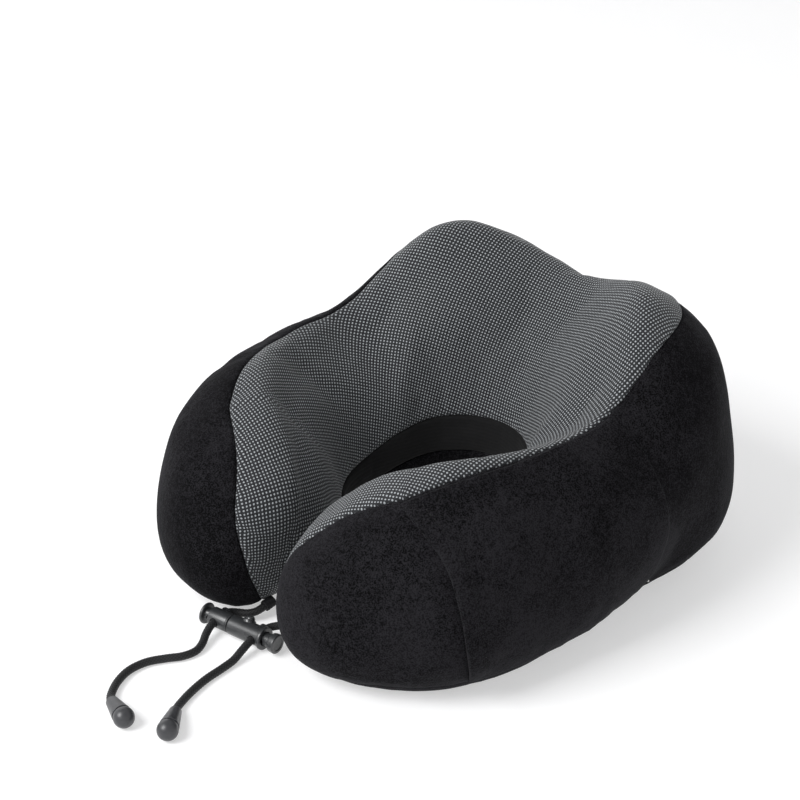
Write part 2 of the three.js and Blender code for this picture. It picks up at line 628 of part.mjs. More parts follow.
function addBell(parent, side) {
  const { start, ball } = BELLS[side];
  const length = new THREE.Vector3(...start).distanceTo(new THREE.Vector3(...ball));
  const mouth = length - 2.6;
  const shell = turned([[0, 2.5], [0.3, 2.8], [mouth, 4.5]]);
  const room = turned([[5.2, 2.9], [mouth + 1, 3.6]]);
  const bell = carve(shell, [], [rod(-1, 6, CORD_DIAMETER / 2 + 0.35), room]);
  const dome = [];
  const steps = 6;
  const firstAngle = Math.acos(-(length - mouth - 0.35) / BALL_RADIUS);
  for (let i = 0; i <= steps; i += 1) {
    const angle = firstAngle * (1 - i / steps);
    dome.push([length + BALL_RADIUS * Math.cos(angle), BALL_RADIUS * Math.sin(angle)]);
  }
  const cap = carve(turned(dome.slice(0, -1)), [rod(mouth - 1.6, length - 1, 2.9)], []);
  const knot = turned([[mouth - 4.9, 1.4], [mouth - 4.3, 2.4], [mouth - 2.9, 2.5], [mouth - 2.1, 1.5]], 14);
  addMesh(parent, `${side}_bell`, placeAlong(bell, start, ball), PLASTIC_GREY);
  addMesh(parent, `${side}_bell_cap`, placeAlong(cap, start, ball), PLASTIC_GREY);
  addMesh(parent, `${side}_knot`, placeAlong(knot, start, ball), CORD);
}

// A short sewn sleeve at the tip of an arm, which the cord comes out of.
function addAnchor(parent, side, points) {
  const sleeve = carve(rod(0, 4.5, 3.0, 16), [], [rod(-1, 6, CORD_DIAMETER / 2 + 0.35, 16)]);
  addMesh(parent, `${side}_cord_anchor`, placeAlong(sleeve, points[0], points[1]), TAPE);
}

function addCords(parent) {
  const radius = CORD_DIAMETER / 2;
  addAnchor(parent, 'left', LEFT_LEAD);
  addAnchor(parent, 'right', RIGHT_CORD);
  addMesh(parent, 'left_cord_lead', tube(vectors(LEFT_LEAD), radius, 4), CORD);
  addMesh(parent, 'left_cord_tail', tube(vectors(LEFT_TAIL), radius, 26), CORD);
  addMesh(parent, 'right_cord', tube(vectors(RIGHT_CORD), radius, 30), CORD);
  addBell(parent, 'left');
  addBell(parent, 'right');
}

model.position.copy(FOOTPRINT_CENTRE).negate();
addPillow(model);
addZip(model);
addCordLock(model);
addCords(model);

export default model;
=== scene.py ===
"""A U-shaped memory foam neck pillow: knit top, velour sides, pocket, zip and drawcords with a lock."""
import math

import bmesh
import bpy
import numpy as np
from mathutils import Matrix, Vector
from mathutils.kdtree import KDTree


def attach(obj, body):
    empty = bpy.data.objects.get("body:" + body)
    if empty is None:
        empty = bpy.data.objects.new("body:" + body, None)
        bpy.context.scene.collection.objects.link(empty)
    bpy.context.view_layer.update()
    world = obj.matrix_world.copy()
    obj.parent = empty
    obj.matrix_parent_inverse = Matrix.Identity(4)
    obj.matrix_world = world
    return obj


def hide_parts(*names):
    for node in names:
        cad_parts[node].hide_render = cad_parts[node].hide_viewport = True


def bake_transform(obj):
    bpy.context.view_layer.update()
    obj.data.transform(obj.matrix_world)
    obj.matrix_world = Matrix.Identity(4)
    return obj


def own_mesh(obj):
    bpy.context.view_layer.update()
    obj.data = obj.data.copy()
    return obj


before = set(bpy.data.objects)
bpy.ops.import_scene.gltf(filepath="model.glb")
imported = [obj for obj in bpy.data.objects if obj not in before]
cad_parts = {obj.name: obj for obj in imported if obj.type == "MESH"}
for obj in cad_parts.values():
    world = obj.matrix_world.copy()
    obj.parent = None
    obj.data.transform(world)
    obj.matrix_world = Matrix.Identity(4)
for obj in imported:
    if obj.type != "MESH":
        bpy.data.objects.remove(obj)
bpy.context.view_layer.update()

# ---------------------------------------------------------------- units and places
MM = 0.001
ORIGIN = np.array([1.25, 4.95, 0.0])  # the model's origin, from the axis of the neck opening, in mm
PILLOW, LEFT_HALF = "pillow", "left_lock_half"

# The pillow's cross-section at six angles round the neck opening, measured from the back.
STATION_ANGLES = [0, 40, 75, 105, 135, 165]
RIDGE_HEIGHT = [118, 134, 101, 98, 97, 80]
RIDGE_RADIUS = [98, 98.5, 89, 86.5, 87, 84]
OUTER_RADIUS = [137, 142, 121.5, 120, 133, 138]
INNER_RADIUS = [44, 40, 35, 38, 43, 48]
INNER_SEAM_HEIGHT = [51, 50, 46, 39, 36, 33]
# How far the foot of the outer side stands out past the side above it
SPREAD_ANGLES = [0, 30, 50, 72, 100, 135, 160]
BASE_SPREAD = [0, 0.5, 3.8, -5.5, -2.5, 2.8, 0.5]
SECTION_POINTS = 11
CAP_START, CAP_END, CAP_HEIGHT = 145.0, 175.0, 33.0
CAP_POWER, LOW_CAP_POWER = 2.7, 3.5  # superellipse powers of the arm's rounding, and of its underside
BODY_SPAN = 4.2  # chart radius from the start of the rounded end to the middle of the back

# Seams along the arms, as positions round the section, and then across the rounded end as
# (chart radius, position) points down to the corner where all the seams meet.
SEAM_ANGLES = [0, 40, 60, 90, 120, 150]
UPPER_SEAM = [5.3, 5.45, 5.8, 6.1, 5.84, 5.5]
NECK_SEAM, CURL_SEAM, ZIP_SEAM = 9.0, 9.65, 2.45
SEAM_CORNER = (0.42, 1.45)
UPPER_END = [
    (0.85, 5.48), (0.68, 5.36), (0.56, 5.21), (0.46, 5.0), (0.36, 4.55), (0.28, 3.75),
    (0.26, 2.6), (0.33, 1.9)]
NECK_END = [(0.85, 9.15), (0.73, 9.6), (0.66, 10.3), (0.62, 11.1), (0.55, 11.8)]
CURL_END = [(0.88, 9.9), (0.8, 10.5), (0.75, 11.2), (0.67, 11.9), (0.55, 12.3)]
ZIP_END = [(0.85, 2.42), (0.7, 2.32), (0.58, 2.1), (0.49, 1.8)]

# Zip: an arc round a point behind the neck opening, its tapes tilted out and up
ZIP_CENTRE_Y, ZIP_RADIUS, ZIP_HEIGHT, ZIP_HALF_ANGLE = -21.3, 151.8, 8.6, 33.0
ZIP_TILT = (0.6, 0.8)
ZIP_OPENING, ZIP_CLOSES = 6.1, (42.0, 53.0)
SLIDER_ANGLE, SLIDER_TOP, HINGE_HEIGHT, TAB_LENGTH = 29.6, 1.9, 1.35, 10.0

# Pocket: the angle of its rear seam, and of its mouth at shares of its height
POCKET_REAR, POCKET_BOTTOM = 76.0, 2.62
POCKET_MOUTH = [129.5, 130.5, 132, 134.5, 138.8, 142.3, 145.2]
POCKET_MOUTH_AT = [0, 0.24, 0.46, 0.67, 0.83, 0.92, 1.0]

# Cord lock and cords
LOCK_POSITION, LOCK_YAW = np.array([-28.8, -125.8, 5.8]), 10.0
LEFT_HOLE, RIGHT_HOLE, BUTTON_AT, BUTTON_TILT = 8.6, 31.5, 24.6, 40.0
CORD_DIAMETER, CORD_HOLE = 3.8, 4.6
LOW = 2.1  # height of a cord's middle where it lies on the floor
LEFT_LEAD = [
    (-12.4, -99.4, 7.4), (-12.5, -103.8, 6.5), (-13.6, -108.0, 5.2), (-16.0, -111.2, 4.6),
    (-18.9, -113.6, 4.7), (-20.7, -116.0, 5.3), (-21.35, -117.6, 5.65)]
LEFT_TAIL = [
    (-21.3, -118.8, 5.8), (-20.3, -124.3, 5.8), (-19.2, -130.2, 5.6), (-17.2, -135.0, 4.2),
    (-14.4, -139.6, 2.6), (-12.4, -145.0, LOW), (-13.4, -151.6, LOW), (-17.6, -158.6, LOW),
    (-21.4, -166.4, LOW), (-22.0, -175.6, LOW), (-18.8, -184.4, LOW), (-14.0, -191.2, LOW),
    (-10.2, -194.5, 2.6), (-6.4, -195.8, 3.1), (-3.4, -196.7, 3.5)]
RIGHT_CORD = [
    (12.4, -99.4, 7.4), (8.6, -103.4, 6.9), (4.2, -108.0, 6.3), (1.5, -112.2, 5.9),
    (1.25, -114.8, 5.8), (2.2, -120.3, 5.8), (3.2, -125.8, 5.7), (4.6, -132.2, 4.2),
    (5.6, -137.6, 2.6), (6.2, -144.0, LOW), (7.4, -155.0, LOW), (9.8, -165.0, LOW),
    (12.8, -173.4, LOW), (15.3, -177.9, 2.6), (17.9, -180.9, 3.1), (19.9, -183.4, 3.5)]
BELLS = {  # where each bell starts, and the middle of its ball
    "left": ((-8.4, -195.2, 2.9), (6.6, -199.6, 4.9)),
    "right": ((16.6, -179.4, 2.9), (26.6, -191.4, 4.9)),
}
BALL_RADIUS = 4.8

# Camera, placed from the axis of the neck opening like everything else
CAMERA_AT, CAMERA_AIM, CAMERA_LENS = (529.0, -544.2, 491.3), (-9.74, -16.96, 85.26), 80.5


def place(points):
    """Points in mm from the neck opening's axis, in the model's frame in metres."""
    return (np.asarray(points, float) - ORIGIN) * MM


# ---------------------------------------------------------------- camera
camera = bpy.data.objects.new("camera", bpy.data.cameras.new("camera"))
bpy.context.scene.collection.objects.link(camera)
bpy.context.scene.camera = camera
camera.data.lens, camera.data.sensor_width = CAMERA_LENS, 36.0
camera.location = place(CAMERA_AT)
camera.rotation_euler = Vector(place(CAMERA_AIM) - place(CAMERA_AT)).to_track_quat("-Z", "Y").to_euler()
camera.data.clip_start, camera.data.clip_end = 0.01, 20.0


# ---------------------------------------------------------------- mesh and material helpers
def new_object(name, mesh):
    obj = bpy.data.objects.new(name, mesh)
    bpy.context.scene.collection.objects.link(obj)
    return obj


def mesh_object(name, vertices, faces):
    """A new smooth-shaded mesh object."""
    mesh = bpy.data.meshes.new(name)
    mesh.from_pydata([tuple(v) for v in np.asarray(vertices, float).reshape(-1, 3)], [], faces)
    mesh.update()
    mesh.shade_smooth()
    return new_object(name, mesh)


def soften(obj, angle):
    """Smooth shading with sharp edges kept where faces meet at more than angle degrees."""
    obj.data.shade_smooth()
    obj.data.set_sharp_from_angle(angle=math.radians(angle))
    return obj


def orient_outward(obj):
    """Merges points that lie together and makes all faces point outward."""
    bm = bmesh.new()
    bm.from_mesh(obj.data)
    bmesh.ops.remove_doubles(bm, verts=bm.verts, dist=1e-7)
    bmesh.ops.dissolve_degenerate(bm, edges=bm.edges, dist=1e-8)
    bmesh.ops.recalc_face_normals(bm, faces=bm.faces)
    bm.to_mesh(obj.data)
    bm.free()
    return obj


def apply_modifiers(obj):
    """Replaces obj's mesh with the result of its modifiers."""
    graph = bpy.context.evaluated_depsgraph_get()
    mesh = bpy.data.meshes.new_from_object(obj.evaluated_get(graph))
    obj.modifiers.clear()
    obj.data = mesh
    return obj


def carve(obj, cutters=(), adds=()):
    """obj with adds joined to it and cutters taken out; the helpers are deleted."""
    for tools, operation in ((adds, "UNION"), (cutters, "DIFFERENCE")):
        for tool in tools:
            step = obj.modifiers.new("carve", "BOOLEAN")
            step.operation, step.object, step.solver = operation, tool, "EXACT"
    apply_modifiers(obj)
    for tool in [*adds, *cutters]:
        bpy.data.objects.remove(tool)
    return obj


def grid_faces(rows, columns, start=0, wrap=False, flip=False):
    """Quads over a grid of points stored row by row."""
    i, j = np.meshgrid(np.arange(rows - 1), np.arange(columns if wrap else columns - 1), indexing="ij")
    k = (j + 1) % columns
    quads = np.stack([i * columns + j, i * columns + k, (i + 1) * columns + k, (i + 1) * columns + j], -1)
    quads = quads.reshape(-1, 4) + start
    return (quads[:, ::-1] if flip else quads).tolist()


def shell_object(name, front, back):
    """A closed thin shell between two grids of points in mm of the same size."""
    rows, columns = front.shape[:2]
    count = rows * columns
    faces = grid_faces(rows, columns) + grid_faces(rows, columns, count, flip=True)
    edge = [(i, 0) for i in range(rows)] + [(rows - 1, j) for j in range(1, columns)]
    edge += [(i, columns - 1) for i in range(rows - 2, -1, -1)]
    edge += [(0, j) for j in range(columns - 2, 0, -1)]
    loop = [i * columns + j for i, j in edge]
    faces += [[a, b, b + count, a + count] for a, b in zip(loop, loop[1:] + loop[:1])]
    return mesh_object(name, place(np.concatenate([front.reshape(-1, 3), back.reshape(-1, 3)])), faces)


def sleeve_object(name, outer, inner):
    """A closed tube with a wall, between two grids of rings of the same size."""
    rows, columns = outer.shape[:2]
    count = rows * columns
    faces = grid_faces(rows, columns, wrap=True)
    faces += grid_faces(rows, columns, count, wrap=True, flip=True)
    for first in (0, count - columns):
        for j in range(columns):
            k = (j + 1) % columns
            faces.append([first + j, first + k, first + k + count, first + j + count])
    points = np.concatenate([outer.reshape(-1, 3), inner.reshape(-1, 3)])
    return orient_outward(mesh_object(name, points, faces))


def tube_part(centre, across, up, radius, sides, first=0):
    """Points and faces of a closed tube, with a ring round each centre in the plane of across and up.
    The radius is one value, one for each ring, or one for each point."""
    angles = np.arange(sides) * 2 * math.pi / sides
    radius = np.asarray(radius, float)
    radius = radius.reshape(radius.shape + (1,) * (3 - radius.ndim))
    ring = across[:, None] * np.cos(angles)[:, None] + up[:, None] * np.sin(angles)[:, None]
    last = first + (len(centre) - 1) * sides
    faces = grid_faces(len(centre), sides, first, wrap=True)
    faces += [list(range(first, first + sides)), list(range(last, last + sides))]
    return (centre[:, None] + radius * ring).reshape(-1, 3), faces


def unit(vectors):
    return vectors / np.linalg.norm(vectors, axis=-1, keepdims=True)


def ripple(points, wavelength, seed):
    """Smooth random values from about -1 to 1 that change over a wavelength, the same each run."""
    rng, waves = np.random.default_rng(seed), 24
    directions = rng.normal(size=(waves, np.shape(points)[-1]))
    directions /= np.linalg.norm(directions, axis=1, keepdims=True)
    rates = 2 * np.pi / (wavelength * rng.uniform(0.7, 1.5, waves))
    phases = rng.uniform(0, 2 * np.pi, waves)
    return np.sin(np.asarray(points) @ (directions * rates[:, None]).T + phases).sum(-1) / math.sqrt(waves)


def smoothstep(low, high, x):
    t = np.clip((np.asarray(x, float) - low) / (high - low), 0, 1)
    return t * t * (3 - 2 * t)


class Nodes:
    """A short way to build a material's node tree."""

    def __init__(self, name, **values):
        self.material = bpy.data.materials.new(name)
        self.material.use_nodes = True
        self.tree = self.material.node_tree
        self.shader = self.tree.nodes["Principled BSDF"]
        self.set(self.shader, **values)

    @staticmethod
    def set(node, **values):
        for key, value in values.items():
            node.inputs[key.replace("_", " ")].default_value = value

    def add(self, kind, links=None, values=None, **settings):
        node = self.tree.nodes.new("ShaderNode" + kind)
        for key, value in settings.items():
            setattr(node, key, value)
        for key, value in (values or {}).items():
            node.inputs[key].default_value = value
        for key, source in (links or {}).items():
            self.tree.links.new(source, node.inputs[key])
        return node

    def math(self, operation, a, b=None, clamp=False):
        node = self.tree.nodes.new("ShaderNodeMath")
        node.operation, node.use_clamp = operation, clamp
        for k, value in enumerate([a] if b is None else [a, b]):
            if isinstance(value, (int, float)):
                node.inputs[k].default_value = value
            else:
                self.tree.links.new(value, node.inputs[k])
        return node.outputs[0]

    def ramp(self, source, low, high, to_low=0.0, to_high=1.0):
        limits = {"From Min": low, "From Max": high, "To Min": to_low, "To Max": to_high}
        return self.add("MapRange", {"Value": source}, limits, interpolation_type="SMOOTHSTEP").outputs[0]

    def noise(self, scale, detail=3.0, coordinates=None, roughness=0.5):
        links = {"Vector": coordinates or self.add("TexCoord").outputs["Object"]}
        values = {"Scale": scale, "Detail": detail, "Roughness": roughness}
        return self.add("TexNoise", links, values).outputs[0]

    def colour(self, amount, dark, light):
        mix = self.add("Mix", data_type="RGBA")
        mix.inputs["A"].default_value, mix.inputs["B"].default_value = (*dark, 1), (*light, 1)
        self.tree.links.new(amount, mix.inputs["Factor"])
        return mix.outputs["Result"]

    def blend(self, amount, a, b):
        mix = self.add("Mix", data_type="RGBA")
        for key, source in (("A", a), ("B", b)):
            self.tree.links.new(source, mix.inputs[key])
        self.tree.links.new(amount, mix.inputs["Factor"])
        return mix.outputs["Result"]

    def bump(self, height, distance, strength):
        values = {"Distance": distance, "Strength": strength}
        return self.add("Bump", {"Height": height}, values).outputs[0]

    def finish(self, colour=None, roughness=None, normal=None):
        for key, source in (("Base Color", colour), ("Roughness", roughness), ("Normal", normal)):
            if source is not None:
                self.tree.links.new(source, self.shader.inputs[key])
        return self.material


# ---------------------------------------------------------------- materials
def velour():
    """Short-pile black velour: fine tufts, broad brushed patches and a soft pale sheen."""
    n = Nodes("velour", Roughness=0.9, Sheen_Weight=0.035, Sheen_Roughness=0.38,
              Sheen_Tint=(0.82, 0.82, 0.9, 1), Specular_IOR_Level=0.06)
    pile = n.noise(1500, 2.0)
    tufts = n.noise(420, 3.0)
    nap = n.noise(26, 3.0, roughness=0.6)
    patches = n.noise(9, 2.0)
    tone = n.math("ADD", n.ramp(nap, 0.36, 0.66, 0.0, 0.45), n.ramp(patches, 0.35, 0.65, 0.0, 0.35))
    tone = n.math("ADD", tone, n.ramp(tufts, 0.34, 0.68, -0.1, 0.25))
    tone = n.math("ADD", tone, n.ramp(pile, 0.36, 0.64, -0.4, 0.5), clamp=True)
    colour = n.colour(tone, (0.0007, 0.0007, 0.001), (0.0146, 0.0142, 0.0163))
    height = n.math("ADD", n.math("MULTIPLY", pile, 0.4), n.math("MULTIPLY", tufts, 0.8))
    return n.finish(colour, normal=n.bump(height, 0.0005, 0.65))


def dotted_knit():
    """Charcoal knit with a square grid of light raised dots, laid out along the cloth's own grain."""
    n = Nodes("dotted_knit", Roughness=0.78, Sheen_Weight=0.12, Sheen_Roughness=0.5, Specular_IOR_Level=0.22)
    grain = n.add("UVMap", uv_map="grain").outputs[0]
    wander = n.add("TexNoise", {"Vector": grain}, {"Scale": 0.22}).outputs["Color"]
    wobble = n.add("VectorMath", {0: wander}, {1: (0.5, 0.5, 0.5)}, operation="SUBTRACT")
    soft = n.add("VectorMath", {0: wobble.outputs[0]}, {"Scale": 0.22}, operation="SCALE")
    shifted = n.add("VectorMath", {0: grain, 1: soft.outputs[0]}, operation="ADD").outputs[0]
    cells = n.add("SeparateXYZ", {0: shifted})
    u = n.math("SUBTRACT", n.math("FRACT", cells.outputs[0]), 0.5)
    v = n.math("SUBTRACT", n.math("FRACT", cells.outputs[1]), 0.5)
    square_u, square_v = (n.math("POWER", n.math("ABSOLUTE", side_of), 2.0) for side_of in (u, v))
    reach = n.math("SQRT", n.math("ADD", square_u, n.math("MULTIPLY", square_v, 0.8)))
    dot = n.ramp(reach, 0.31, 0.16, 0.0, 1.0)
    yarn = n.noise(1300, 2.0)
    cell = n.add("VectorMath", {0: shifted}, operation="FLOOR").outputs[0]
    cell_noise = n.add("TexWhiteNoise", {"Vector": cell}, noise_dimensions="2D").outputs[0]
    each_dot, each_yarn = n.ramp(cell_noise, 0.0, 1.0, 0.82, 1.0), n.ramp(yarn, 0.3, 0.7, 0.75, 1.0)
    light = n.math("MULTIPLY", each_dot, each_yarn)
    ground = n.colour(n.ramp(yarn, 0.3, 0.7), (0.008, 0.0085, 0.0098), (0.022, 0.024, 0.027))
    dots = n.colour(light, (0.19, 0.205, 0.22), (0.38, 0.4, 0.415))
    height = n.math("ADD", n.math("MULTIPLY", dot, 1.0), n.math("MULTIPLY", yarn, 0.25))
    return n.finish(n.blend(dot, ground, dots), normal=n.bump(height, 0.00035, 0.8))


def plain_cloth(name, dark, light, scale, sheen=0.1, roughness=0.85):
    """A fine plain knit or woven cloth."""
    n = Nodes(name, Roughness=roughness, Sheen_Weight=sheen, Sheen_Roughness=0.5, Specular_IOR_Level=0.2)
    coordinates = n.add("TexCoord").outputs["Object"]
    weave = {"Scale": scale / 6, "Distortion": 1.5, "Detail": 1.0}
    wave = n.add("TexWave", {"Vector": coordinates}, weave, bands_direction="Z").outputs[1]
    thread = n.noise(scale, 2.0, coordinates)
    shade = n.math("ADD", n.math("MULTIPLY", wave, 0.5), n.math("MULTIPLY", thread, 0.6), clamp=True)
    return n.finish(n.colour(shade, dark, light), normal=n.bump(shade, 0.0002, 0.7))


def foam():
    """Cream polyurethane foam with open cells."""
    n = Nodes("foam", Roughness=0.95)
    coordinates = n.add("TexCoord").outputs["Object"]
    cells = n.add("TexVoronoi", {"Vector": coordinates}, {"Scale": 900.0}).outputs["Distance"]
    colour = n.colour(n.noise(30), (0.78, 0.73, 0.58), (0.86, 0.82, 0.69))
    return n.finish(colour, normal=n.bump(n.math("SUBTRACT", 1.0, cells), 0.0004, 0.7))


def moulded(name, dark, light, roughness, coat=0.0):
    """Injection-moulded plastic with a fine moulded grain and slight handling marks."""
    n = Nodes(name, Coat_Weight=coat, Coat_Roughness=0.25, Specular_IOR_Level=0.55)
    marks = n.noise(140, 4.0)
    fine = n.noise(2600.0, 2.0)
    rough = n.ramp(marks, 0.3, 0.75, roughness - 0.05, roughness + 0.1)
    return n.finish(n.colour(marks, dark, light), rough, n.bump(n.math("ADD", fine, marks), 0.00005, 0.6))


def metal(name, dark, light, roughness):
    """Plated metal with small scratches along its length."""
    n = Nodes(name, Metallic=1.0)
    coordinates = n.add("TexCoord").outputs["Object"]
    stretched = n.add("Mapping", {"Vector": coordinates}, {"Scale": (1.0, 6.0, 6.0)}).outputs[0]
    scratches = n.noise(500, 3.0, stretched)
    rough = n.ramp(scratches, 0.3, 0.7, roughness - 0.07, roughness + 0.1)
    return n.finish(n.colour(n.noise(200), dark, light), rough, n.bump(scratches, 0.00003, 0.5))


def braid(name, dark, light):
    """Braided cord: dull fibres, with painted shade darker down in the gaps between the strands."""
    n = Nodes(name, Roughness=0.62, Sheen_Weight=0.15, Sheen_Roughness=0.4, Specular_IOR_Level=0.35)
    strand = n.add("Attribute", attribute_name="strand").outputs["Fac"]
    fibres = n.noise(2200, 2.0)
    # painted shade: the colour goes from light on the crowns of the strands to dark in the gaps between them
    shade = n.math("MULTIPLY", n.ramp(strand, 0.15, 0.9), n.ramp(fibres, 0.25, 0.75, 0.6, 1.0))
    return n.finish(n.colour(shade, dark, light), normal=n.bump(fibres, 0.0001, 0.6))


MATERIALS = {
    "velour": velour(),
    "dotted_knit": dotted_knit(),
    "neck_knit": plain_cloth("neck_knit", (0.0022, 0.0022, 0.0024), (0.005, 0.005, 0.0055), 1100, sheen=0.04),
    "foam": foam(),
    "liner": plain_cloth("liner", (0.55, 0.55, 0.53), (0.8, 0.8, 0.78), 900, roughness=0.9),
    "zip_tape": plain_cloth("zip_tape", (0.004, 0.004, 0.0045), (0.016, 0.016, 0.018), 1300, sheen=0.1),
    "zip_coil": moulded("zip_coil", (0.004, 0.004, 0.0045), (0.009, 0.009, 0.01), 0.36),
    "zip_metal": metal("zip_metal", (0.05, 0.05, 0.055), (0.11, 0.11, 0.115), 0.32),
    "lock_plastic": moulded("lock_plastic", (0.019, 0.02, 0.0215), (0.033, 0.035, 0.037), 0.3, coat=0.3),
    "bell_plastic": moulded("bell_plastic", (0.026, 0.0265, 0.03), (0.038, 0.039, 0.043), 0.36),
    "spring_steel": metal("spring_steel", (0.4, 0.4, 0.4), (0.6, 0.6, 0.6), 0.25),
    # the cord's first colour is the painted shade deep in the gaps between the strands
    "cord": braid("cord", (0.0018, 0.0018, 0.002), (0.019, 0.0195, 0.0215)),
}


def wear(obj, slot):
    """Gives obj the material of a slot of the record."""
    obj.data.materials.clear()
    obj.data.materials.append(MATERIALS[slot])
    return obj


def fit(obj, body, slot, node=None):
    """Puts obj on a body, in place of a CAD node if it stands for one, in the material of a slot."""
    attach(obj, body)
    if node:
        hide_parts(node)
    return wear(obj, slot)


# ---------------------------------------------------------------- the pillow's surface
def smooth_curve(angles, values, x):
    """A smooth curve through values at given angles, level at the first one."""
    angles, values = np.asarray(angles, float), np.asarray(values, float)
    last = len(angles) - 1
    x = np.clip(x, angles[0], angles[last])
    i = np.clip(np.searchsorted(angles, x, side="left") - 1, 0, last - 1)
    ahead = np.minimum(np.arange(1, last + 1) + 1, last)
    slopes = np.zeros(last + 1)
    slopes[1:] = (values[ahead] - values[:-1]) / (angles[ahead] - angles[:-1])
    span = angles[i + 1] - angles[i]
    t = (x - angles[i]) / span
    return ((2 * t**3 - 3 * t**2 + 1) * values[i] + (t**3 - 2 * t**2 + t) * span * slopes[i]
            + (3 * t**2 - 2 * t**3) * values[i + 1] + (t**3 - t**2) * span * slopes[i + 1])


def section_controls(angle):
    """Control points of the cross-section at an angle, and its inner and outer radius."""
    stations = (RIDGE_HEIGHT, RIDGE_RADIUS, OUTER_RADIUS, INNER_RADIUS, INNER_SEAM_HEIGHT)
    top, ridge, outer, inner, seam = (smooth_curve(STATION_ANGLES, v, angle) for v in stations)
    width, slope = outer - inner, ridge - inner
    spread = smooth_curve(SPREAD_ANGLES, BASE_SPREAD, angle)
    radii = [inner + 0.16 * width, inner + 0.5 * width, inner + 0.79 * width + spread, outer + spread, outer,
             outer - 0.285 * (outer - ridge), ridge, ridge - 0.36 * slope, ridge - 0.72 * slope,
             inner + 0.03 * width, inner]
    flat = 0 * top
    heights = [flat, flat, flat, 0.22 * top, 0.55 * top, 0.825 * top, top, top - 0.24 * (top - seam),
               top - 0.56 * (top - seam), seam, 0.45 * seam]
    return np.stack([np.stack(radii, -1), np.stack(heights, -1)], -1), inner, outer


def section_point(controls, t):
    """A point of the closed curve through the control points."""
    t = np.mod(t, SECTION_POINTS)
    i = np.floor(t).astype(int)
    u = (t - i)[..., None]

    def pick(k):
        index = ((i + k) % SECTION_POINTS)[..., None, None].repeat(2, -1)
        return np.take_along_axis(controls, index, axis=-2)[..., 0, :]

    p, q, r, s = pick(-1), pick(0), pick(1), pick(2)
    return 0.5 * (2 * q + (r - p) * u + (2 * p - 5 * q + 4 * r - s) * u**2 + (3 * q - p - 3 * r + s) * u**3)


def skin(rho, t):
    """The right half of the pillow's surface, in mm. rho is 0 at the tip, 1 where the arm starts to
    round off and 1 + BODY_SPAN at the middle of the back; t is the place round the section."""
    turn = np.clip(1 - rho, 0, 1) * math.pi / 2
    size = (np.sin(turn) ** CAP_POWER + np.abs(np.cos(turn)) ** CAP_POWER) ** (1 / CAP_POWER)
    reach, scale = np.sin(turn) / size, np.abs(np.cos(turn)) / size
    angle = CAP_START * (1 - np.clip(rho - 1, 0, None) / BODY_SPAN) + (CAP_END - CAP_START) * reach
    controls, inner, outer = section_controls(np.abs(angle))
    point = section_point(controls, t)
    middle = (inner + outer) / 2
    radius = middle + (point[..., 0] - middle) * scale
    low_scale = np.clip(1 - reach ** LOW_CAP_POWER, 0, 1) ** (1 / LOW_CAP_POWER)
    rise = point[..., 1] - CAP_HEIGHT
    height = CAP_HEIGHT + rise * np.where(rise < 0, low_scale, scale)
    theta = np.radians(angle)
    return np.stack([radius * np.sin(theta), radius * np.cos(theta), np.maximum(height, 0)], -1)


def to_chart(rho, t):
    """Flat coordinates of a place on one half: the tip is in the middle."""
    theta = np.asarray(t, float) * 2 * math.pi / SECTION_POINTS
    return np.stack([rho * np.cos(theta), rho * np.sin(theta)], -1)


def skin_at(chart):
    """Points of the surface at chart places."""
    rho = np.linalg.norm(chart, axis=-1)
    return skin(rho, np.arctan2(chart[..., 1], chart[..., 0]) * SECTION_POINTS / (2 * math.pi))


def raw_normals(chart):
    """Unit normals of the surface at chart places, all on the same side of it."""
    step = 0.012
    dx, dy = np.array([step, 0]), np.array([0, step])
    across = skin_at(chart + dx) - skin_at(chart - dx)
    up = skin_at(chart + dy) - skin_at(chart - dy)
    normal = np.cross(across, up)
    return normal / (np.linalg.norm(normal, axis=-1, keepdims=True) + 1e-12)


RIDGE_PLACE = to_chart(np.array([3.0]), np.array([6.0]))
NORMAL_SIGN = 1.0 if raw_normals(RIDGE_PLACE)[0, 2] > 0 else -1.0


def skin_normals(chart):
    """Outward unit normals of the surface at chart places."""
    return NORMAL_SIGN * raw_normals(chart)


def rho_of(angle):
    """Chart radius of the section at an angle along the arm, before the rounded end."""
    return 1 + BODY_SPAN * (1 - np.asarray(angle, float) / CAP_START)


def mirrored(half):
    """Rows for the whole pillow from the rows of its right half, tip first and back last."""
    left = half.copy()
    left[..., 0] *= -1
    return np.concatenate([half, left[-2::-1]])


# ---------------------------------------------------------------- seams and panels
TIP_ROWS, BODY_ROWS = 36, 130
TIP_SHARES = np.linspace(0.02, 1, TIP_ROWS)
BODY_RHO = np.linspace(1, 1 + BODY_SPAN, BODY_ROWS + 1)[1:]
SEAM_DEPTH, SEAM_WIDTH = 1.5, 2.6  # how far a seam sinks in, and the width of its shoulder
PUCKER, PUCKER_LENGTH, PUCKER_REACH, PUCKER_SEED = 0.26, 6.5, 5.0, 5
COVER_THICKNESS, FLOOR_GAP = 1.1, 0.15
EDGE_STEPS = np.array([0, 0.15, 0.45, 0.9, 1.5, 2.3, 3.4, 4.8])  # mm from a seam


